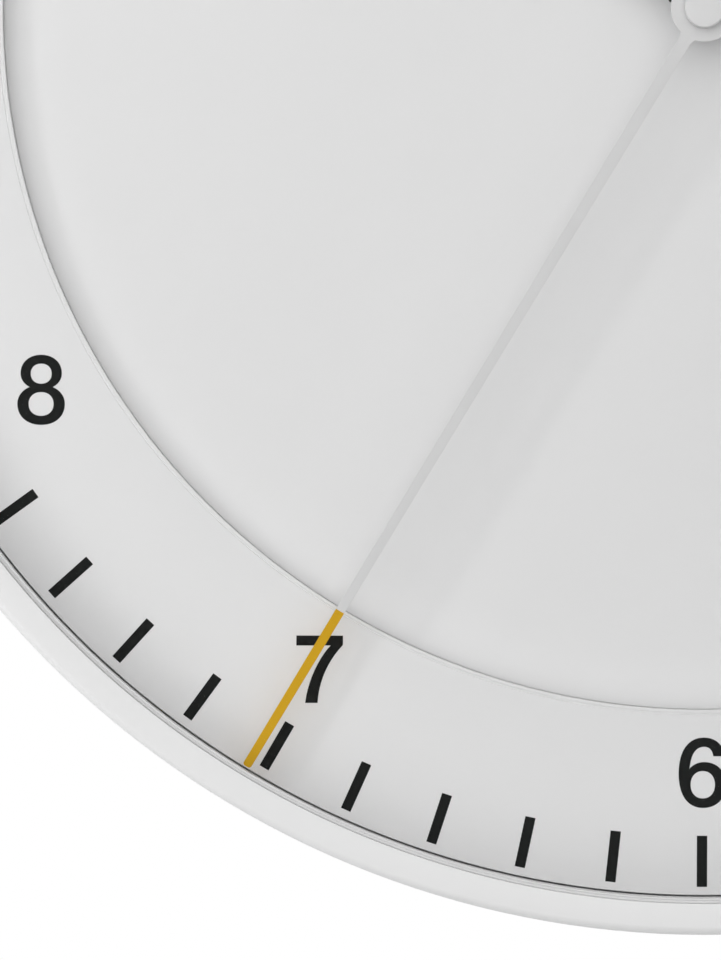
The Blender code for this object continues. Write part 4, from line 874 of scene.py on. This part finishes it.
loop = hand_outline(second_hub, second_half_width, SECOND_LENGTH - 0.02, 1.0, 0.45)
blade = slab([loop, bore(0.9)], second_rear, second_front)
bmesh.ops.bisect_plane(blade, geom=blade.verts[:] + blade.edges[:] + blade.faces[:],
                       plane_co=(0, YELLOW_START, 0), plane_no=(0, 1, 0))
second_finish(blade, lambda x, y, z: y > YELLOW_START)
blade = moved(blade, clockwise=second_turn)
soften(add_piece("second_hand_blade", blade, [HAND_GREY, TIP_YELLOW], "second_train",
                 ["second_hand"]), 0.12)

# %% Cap of the second hand
cap_rear, cap_front = heights("hand_cap")
CAP_RADIUS = reach("hand_cap")
cap = lathe([(0.9, cap_rear), (CAP_RADIUS, cap_rear), (CAP_RADIUS, cap_front - 0.35),
             *arc((CAP_RADIUS - 0.35, cap_front - 0.35), 0.35, 0, 90, 5),
             (0, cap_front), (0, cap_front - 0.4), (0.9, cap_front - 0.4)], 96)
add_piece("second_hand_cap", cap, [CAP_GREY], "second_train", ["hand_cap"])

# %% [markdown]
# The hour and minute hands are black batons. Each has a shallow spine pressed along its middle,
# which stiffens the thin sheet and gives it a line of light, and a hub that hides under the
# second hand's hub.

# %% Hour and minute hands
def baton(node, body, width, hole):
    """A black hand with a hole of a radius and a spine along its middle."""
    turn, length, hub = pointing(node)
    rear, front = heights(node)
    outline = hand_outline(hub, lambda t: width / 2 - 0.15 * t / length, length - 0.05, 1.0, 0.5)
    hand = slab([outline, bore(hole)], rear, front - 0.12)
    foot, tip = (width * 0.16, 9), (width * 0.10, length - 3)
    spine = slab([[(-foot[0], foot[1]), foot, tip, (-tip[0], tip[1])]], rear + 0.2, front)
    hand = moved(carve(hand, [spine], 'UNION'), clockwise=turn)
    soften(add_piece(f"{node}_blade", hand, [HAND_BLACK], body, [node]), 0.10)
    print(f"{node} points to {turn:.1f} degrees, {length:.1f} mm long")


baton("hour_hand", "hour_train", width=4.0, hole=2.7)
baton("minute_hand", "minute_train", width=3.4, hole=1.7)

# %% [markdown]
# ## Rear panel
#
# The back is a flat white panel let into the case. It has a window for the movement, a shallow
# pocket for the hanger plate and four screw holes, and a flange on its inner side presses the
# dial forward. It is turned first and then cut, in the order in which a tool maker would think
# of it, and two shallow rings stiffen the broad flat, as on most such mouldings.

# %% Turned blank of the panel
def rounded(left, right, bottom, top, corner):
    """A rectangle with rounded corners."""
    return [*arc((right - corner, top - corner), corner, 0, 90, 6),
            *arc((left + corner, top - corner), corner, 90, 180, 6),
            *arc((left + corner, bottom + corner), corner, 180, 270, 6),
            *arc((right - corner, bottom + corner), corner, 270, 360, 6)]


panel_rear, flange_front = heights("rear_panel")
PANEL_EDGE = 147.0
FLANGE = 139.0
PILOT_RADIUS = 1.35
HANG = -AXIS_Z * 1000
panel_front = panel_rear + 2
panel = lathe([(0, panel_rear), *arc((PANEL_EDGE - 0.3, panel_rear + 0.3), 0.3, -90, 0, 3),
               (PANEL_EDGE, panel_front), (FLANGE, panel_front), (FLANGE, flange_front),
               (FLANGE - 2, flange_front), (FLANGE - 2, panel_front), (0, panel_front)], 192)
print(f"panel {panel_front - panel_rear:.0f} mm thick, flange {flange_front - panel_front:.1f} mm high")

# %% Rear panel, cut to shape
tray = slab([rounded(-20.3, 20.3, HANG - 24.3, HANG + 10.3, 2)], panel_rear + 1, panel_rear + 5.5)
grooves = [lathe([(r, panel_rear - 1), (r + 1.2, panel_rear - 1), (r + 0.9, panel_rear + 0.4),
                  (r + 0.3, panel_rear + 0.4)], 192) for r in (127.0, 134.0)]
movement_window = slab([rounded(-35, 35, -48, 42, 5)], -2, panel_rear + 4)
hanger_pocket = slab([rectangle(-18.3, 18.3, HANG - 22.3, HANG + 8.3)], -2, panel_rear + 3.5)
hook_room = slab([rectangle(-10, 10, HANG - 21.4, HANG + 5.2)], -2, panel_rear + 7.5)
hanger_holes = [drill(x, HANG - 5.5, PILOT_RADIUS, -2, panel_rear + 7.5) for x in (-14, 14)]
case_holes = [drill(x, y, PILOT_RADIUS, -2, panel_rear + 4) for x, y in SCREW_PLACES]
cuts = [*grooves, movement_window, hanger_pocket, hook_room, *hanger_holes, *case_holes]
panel = carve(carve(panel, [tray], 'UNION'), cuts)
add_piece("rear_moulding", panel, [BACK_WHITE], "clock_body", ["rear_panel"])

# %% [markdown]
# ## Screws
#
# Pan-head screws hold the panel, the hanger and the movement cover. A screw's face is what shows:
# a low dome with a cross recess that narrows as it goes in. One drawing serves all ten, at the
# places and depths of their solids.

# %% Pan-head screws
def pan_head(node):
    """A screw with its head at the rear and a cross recess, where its solid is."""
    rear, tip = heights(node)
    head = reach(node)
    dome = [(0, rear), (head * 0.45, rear + 0.04), (head * 0.78, rear + 0.18),
            (head * 0.96, rear + 0.45), (head, rear + 0.75), (head * 0.97, rear + 1.0),
            (1.05, rear + 1.0), (1.05, tip - 1.05), (0, tip)]
    arms = []
    for turn in (0, 90):
        wide, thin = head * 0.55, 0.30
        arm = slab([rectangle(-wide, wide, -thin, thin)], rear - 0.3, rear + 0.55)
        for vertex in arm.verts:
            if vertex.co.z > rear:
                vertex.co.x *= 0.45
                vertex.co.y *= 0.6
        arms.append(moved(arm, clockwise=turn + 20))
    return moved(carve(lathe(dome, 40), arms), *centre(node))


screws = [f"case_screw_{k}" for k in (1, 2, 3, 4)] + [f"cover_screw_{k}" for k in (1, 2, 3, 4)]
screws += [f"hanger_screw_{k}" for k in (1, 2)]
for node in screws:
    add_piece(f"{node}_pan_head", pan_head(node), [ZINC_STEEL], "clock_body", [node])

# %% [markdown]
# ## Buttons
#
# Three push buttons sit in the movement's cover. Each is a turned cap with a shallow dish for
# the fingertip. The cap rides on its own body, so it goes in by 0.8 mm without the cover.

# %% Buttons
BUTTONS = ("reset_button", "set_button", "wave_button")
for node in BUTTONS:
    rear, front = heights(node)
    dish = [(0, rear + 0.22), (0.9, rear + 0.18), (1.6, rear + 0.03), (1.9, rear)]
    barrel = [*arc((1.95, rear + 0.25), 0.25, -90, 0, 3), (2.2, rear + 2.6)]
    collar = [(3.1, rear + 2.6), (3.1, rear + 3.4), (1.1, rear + 3.4)]
    cap = moved(lathe([*dish, *barrel, *collar, (1.1, front), (0, front)], 48), *centre(node))
    add_piece(f"{node}_cap", cap, [BUTTON_GREY], node, [node])

# %% [markdown]
# ## Battery
#
# The cell lies open in its bay. It is a steel can in a shrunk sleeve, and the sleeve folds over
# the can's shoulders as a fine ridge at both ends. The outline is turned and laid on its side,
# and the faces of the ends get bare steel while the sleeve gets a dark satin film with a lighter
# band, without any print.

# %% Battery
def shrunk_sleeve():
    """Dark film with a lighter band near one end, drawn into fine wrinkles along the cell."""
    finish, shader, place = new_finish("battery_wrap", (0.10, 0.13, 0.16), 0.34, Coat_Weight=0.3)
    along = place.node("SeparateXYZ", {}, {0: place}, "X")
    band = (along > 0.0135) * (along < 0.0185)
    blend(band, (0.055, 0.075, 0.105), (0.46, 0.47, 0.48)).feed(shader, "Base Color")
    wrinkle = drawn(place, (0.25, 1.0, 1.0), 700.0)
    (0.30 + 0.12 * wrinkle).feed(shader, "Roughness")
    relief(wrinkle, 0.00002).feed(shader, "Normal")
    return finish


BATTERY_WRAP = shrunk_sleeve()
low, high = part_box("battery")
can = (high.z - low.z) * 500
cell_row = centre("battery")[1]
cell_level = -(low.y + high.y) * 500
cell_end = -low.x * 1000

flat_end = [(0, 0.25 - cell_end), (can - 2.2, 0.25 - cell_end), (can - 1.6, 0.45 - cell_end),
            (can - 1.1, 0.30 - cell_end), (can - 0.6, -cell_end)]
sleeve = [(can - 0.2, 0.1), (can - 0.05, 0.5), (can, 1.1)]
raised_end = [(can - 0.6, cell_end), (can - 1.1, cell_end - 0.35), (can - 1.7, cell_end - 0.5),
              (2.9, cell_end - 0.35), (2.6, cell_end), (2.6, cell_end + 1.05),
              (2.35, cell_end + 1.3), (0, cell_end + 1.3)]
profile = [*flat_end, *((r, t - cell_end) for r, t in sleeve),
           *((r, cell_end - t) for r, t in sleeve[::-1]), *raised_end]
cell = lathe(profile, 72)
second_finish(cell, lambda x, y, z: math.hypot(x, y) < can - 1.0 and abs(z) > cell_end - 1.0)
cell.transform(Matrix.Translation((0, cell_row, cell_level)) @ Matrix.Rotation(math.pi / 2, 4, 'Y'))
add_piece("battery_cell", cell, [BATTERY_WRAP, ZINC_STEEL], "battery", ["battery"])

# %% [markdown]
# ## Marks on the movement cover
#
# The cover's own solid is good as it is, once its edges are softened. What it lacks are the small
# moulded marks: a raised collar round each button, and the plus and minus beside the battery bay
# that say which way the cell goes in.

# %% Collars and polarity marks
cover_rear = heights("movement_cover")[0]
root, face, crest = cover_rear + 0.1, cover_rear - 0.25, cover_rear - 0.35
collar = [(2.75, root), (2.75, face), (2.9, crest), (3.35, crest), (3.5, face), (3.5, root)]
moulded_marks = [moved(lathe(collar, 48), *centre(button)) for button in BUTTONS]
arm, half = 0.95, 0.22
plus = [(-half, -arm), (half, -arm), (half, -half), (arm, -half), (arm, half), (half, half),
        (half, arm), (-half, arm), (-half, half), (-arm, half), (-arm, -half), (-half, -half)]
minus = rectangle(-arm, arm, -half, half)
moulded_marks += [moved(slab([sign], face, root), x, cell_row)
                  for sign, x in ((plus, 30.2), (minus, -31.0))]
add_piece("cover_marks", together(moulded_marks), [BLACK_PLASTIC], "clock_body")

# %% [markdown]
# ## Finishes for the solids that stay
#
# Everything else keeps its solid: the works inside the movement box, the hanger plate and the
# contacts. Each gets the finish of its material, and those that can be seen from behind or
# through a gap get softened edges too.

# %% Dress the remaining solids
DRESS = {
    NATURAL_PLASTIC: ["train_plate", "second_wheel", "minute_wheel", "motion_wheel", "hour_wheel",
                      "seconds_gear", "minutes_gear"],
    BLACK_PLASTIC: ["movement_housing", "movement_cover", "reset_switch", "set_switch",
                    "wave_switch"],
    ZINC_STEEL: ["hanger_plate", "quartz_crystal", "positive_contact", "negative_contact",
                 "train_screw_1", "train_screw_2", "train_screw_3", "board_screw_1",
                 "board_screw_2", "bush_nut"],
    GREY_RUBBER: ["dial_washer"],
    SOFT_IRON: ["seconds_stator", "minutes_stator", "seconds_core", "minutes_core"],
    FERRITE: ["seconds_rotor", "minutes_rotor", "antenna_rod"],
    COPPER_WIRE: ["seconds_coil", "minutes_coil"],
    AERIAL_WIRE: ["antenna_coil"],
    BOARD_GREEN: ["circuit_board"],
    CHIP_RESIN: ["controller_chip"],
}
for finish, nodes in DRESS.items():
    for node in nodes:
        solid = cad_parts[node]
        for slot in solid.material_slots:
            slot.material = finish
for node, width in (("hanger_plate", 0.12), ("movement_cover", 0.25), ("movement_housing", 0.3),
                    ("positive_contact", 0.08), ("negative_contact", 0.08), ("bush_nut", 0.15)):
    soften(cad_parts[node], width)
shown = [name for name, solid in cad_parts.items() if not solid.hide_render]
undressed = sorted(set(shown) - {node for nodes in DRESS.values() for node in nodes})
print("solids that stay:", len(shown), "without a finish:", undressed)

# %% [markdown]
# ## Camera
#
# The photograph looks straight at the dial from about 1.8 m and shows its lower left quarter. The
# distance follows from small shifts between circles at different heights: the rim, the marks and
# the recess each seem to have a centre of their own, which only fits a camera that close. The
# long side of the picture is 960 pixels, and the rim's plane takes 6.19 of them per millimetre.
# From those the focal length follows, so nothing is left to try by eye. The Standard view shows
# a colour about as it is written.

# %% Camera
DISTANCE = 1.8
PICTURE_CENTRE = (-0.05575, -0.0765)
PICTURE_HEIGHT = 960
PIXELS_PER_METRE = 6190
RIM_LEVEL = 0.0419
SENSOR = 36.0

camera_data = bpy.data.cameras.new("photo_camera")
camera_data.sensor_width = SENSOR
camera_data.lens = PIXELS_PER_METRE * (DISTANCE - RIM_LEVEL) / PICTURE_HEIGHT * SENSOR
camera = bpy.data.objects.new("photo_camera", camera_data)
camera.location = (PICTURE_CENTRE[0], -DISTANCE, AXIS_Z + PICTURE_CENTRE[1])
camera.rotation_euler = (math.radians(90), 0, 0)
camera_data.clip_start = 0.05
camera_data.clip_end = 30.0
bpy.context.scene.collection.objects.link(camera)
bpy.context.scene.camera = camera
bpy.context.scene.view_settings.view_transform = 'Standard'
print(f"lens of {camera_data.lens:.0f} mm at {DISTANCE} m")

# %% [markdown]
# ## Light, backdrop and floor
#
# Four soft lamps do the work, all square so that they could be real softboxes. A large one hangs
# in front, a little to the left, and gives the dial its even light. A smaller one stands far to
# the left: it grazes the dial, so the dial is brightest on its left, the rim shades the ring and
# the second hand throws a broad, faint shadow to its right. A weak one above the rim draws that
# shadow out, and one behind lights the back for those who walk round the clock. None of them is
# so bright that the white case loses its shading. The backdrop is white to the camera and to
# reflections and lights the object only softly. The floor fades into that white towards its edge
# and keeps the clock's shadow.

# %% Backdrop
world = bpy.data.worlds.new("studio")
bpy.context.scene.world = world
world.use_nodes = True
world.node_tree.nodes.clear()
AMBIENT = 0.33
sky = Signal(world.node_tree)
seen = sky.node("LightPath", output="Is Camera Ray")
for ray in ("Is Glossy Ray", "Is Transmission Ray"):
    seen = sky.maths('MAXIMUM', seen, sky.node("LightPath", output=ray))
strength = AMBIENT + (1 - AMBIENT) * seen
backdrop = sky.node("Background", {}, {"Color": (1, 1, 1, 1), "Strength": strength})
sky.node("OutputWorld", {}, {"Surface": backdrop})
print("backdrop: white to the camera, ambient", AMBIENT)

# %% Lamps
LIT_POINT = Vector((-0.03, -0.035, AXIS_Z - 0.03))


def soft_lamp(name, x, y, above, size, watts):
    """A square lamp that looks at the dial, at a height above the clock's axis."""
    data = bpy.data.lights.new(name, 'AREA')
    data.shape = 'SQUARE'
    data.size = size
    data.energy = watts
    lamp = bpy.data.objects.new(name, data)
    lamp.location = (x, y, AXIS_Z + above)
    lamp.rotation_euler = (LIT_POINT - lamp.location).to_track_quat('-Z', 'Y').to_euler()
    lamp.visible_camera = False
    bpy.context.scene.collection.objects.link(lamp)
    print(f"{name}: {watts} W from {lamp.location[:]}")


soft_lamp("side_lamp", -1.50, -0.60, 0.50, size=0.8, watts=12.9)
soft_lamp("upper_lamp", -0.60, -0.45, 0.55, size=0.8, watts=2.0)
soft_lamp("front_lamp", -0.45, -1.20, 0.72, size=3.0, watts=21.8)
soft_lamp("back_lamp", 0.7, 1.3, 0.6, size=1.0, watts=9.0)

# %% Floor
FLOOR_Z = -0.36
FLOOR_RADIUS = 1.25
bm = bmesh.new()
bmesh.ops.create_circle(bm, cap_ends=True, segments=96, radius=FLOOR_RADIUS)
mesh = bpy.data.meshes.new("studio_floor")
bm.to_mesh(mesh)
bm.free()
floor = bpy.data.objects.new("studio_floor", mesh)
floor.location = (0, 0, FLOOR_Z)
bpy.context.scene.collection.objects.link(floor)
print("floor at", FLOOR_Z, "m, radius", FLOOR_RADIUS, "m")

# %% Floor paper that fades into the backdrop
sheet = bpy.data.materials.new("studio_floor")
sheet.use_nodes = True
sheet.node_tree.nodes.clear()
start = Signal(sheet.node_tree)
place = start.node("TexCoord", output="Object")
out = place.node("VectorMath", {"operation": 'LENGTH'}, {0: place}, "Value")
fade = out.node("MapRange", {"interpolation_type": 'SMOOTHSTEP'},
                {"Value": out, "From Min": 0.45, "From Max": FLOOR_RADIUS * 0.96,
                 "To Min": 0.55, "To Max": 1.0})
paper = blend(clouds(place, 900.0), (0.84, 0.84, 0.84), (0.88, 0.88, 0.88))
matt = start.node("BsdfDiffuse", {}, {"Color": paper})
glow = start.node("Emission", {}, {"Color": (1, 1, 1, 1), "Strength": 1.0})
looked_at = start.node("LightPath", output="Is Camera Ray")
mixed = start.node("MixShader", {}, {0: fade * looked_at, 1: matt, 2: glow})
start.node("OutputMaterial", {}, {"Surface": mixed})
floor.data.materials.append(sheet)
print("floor finish:", sheet.name)
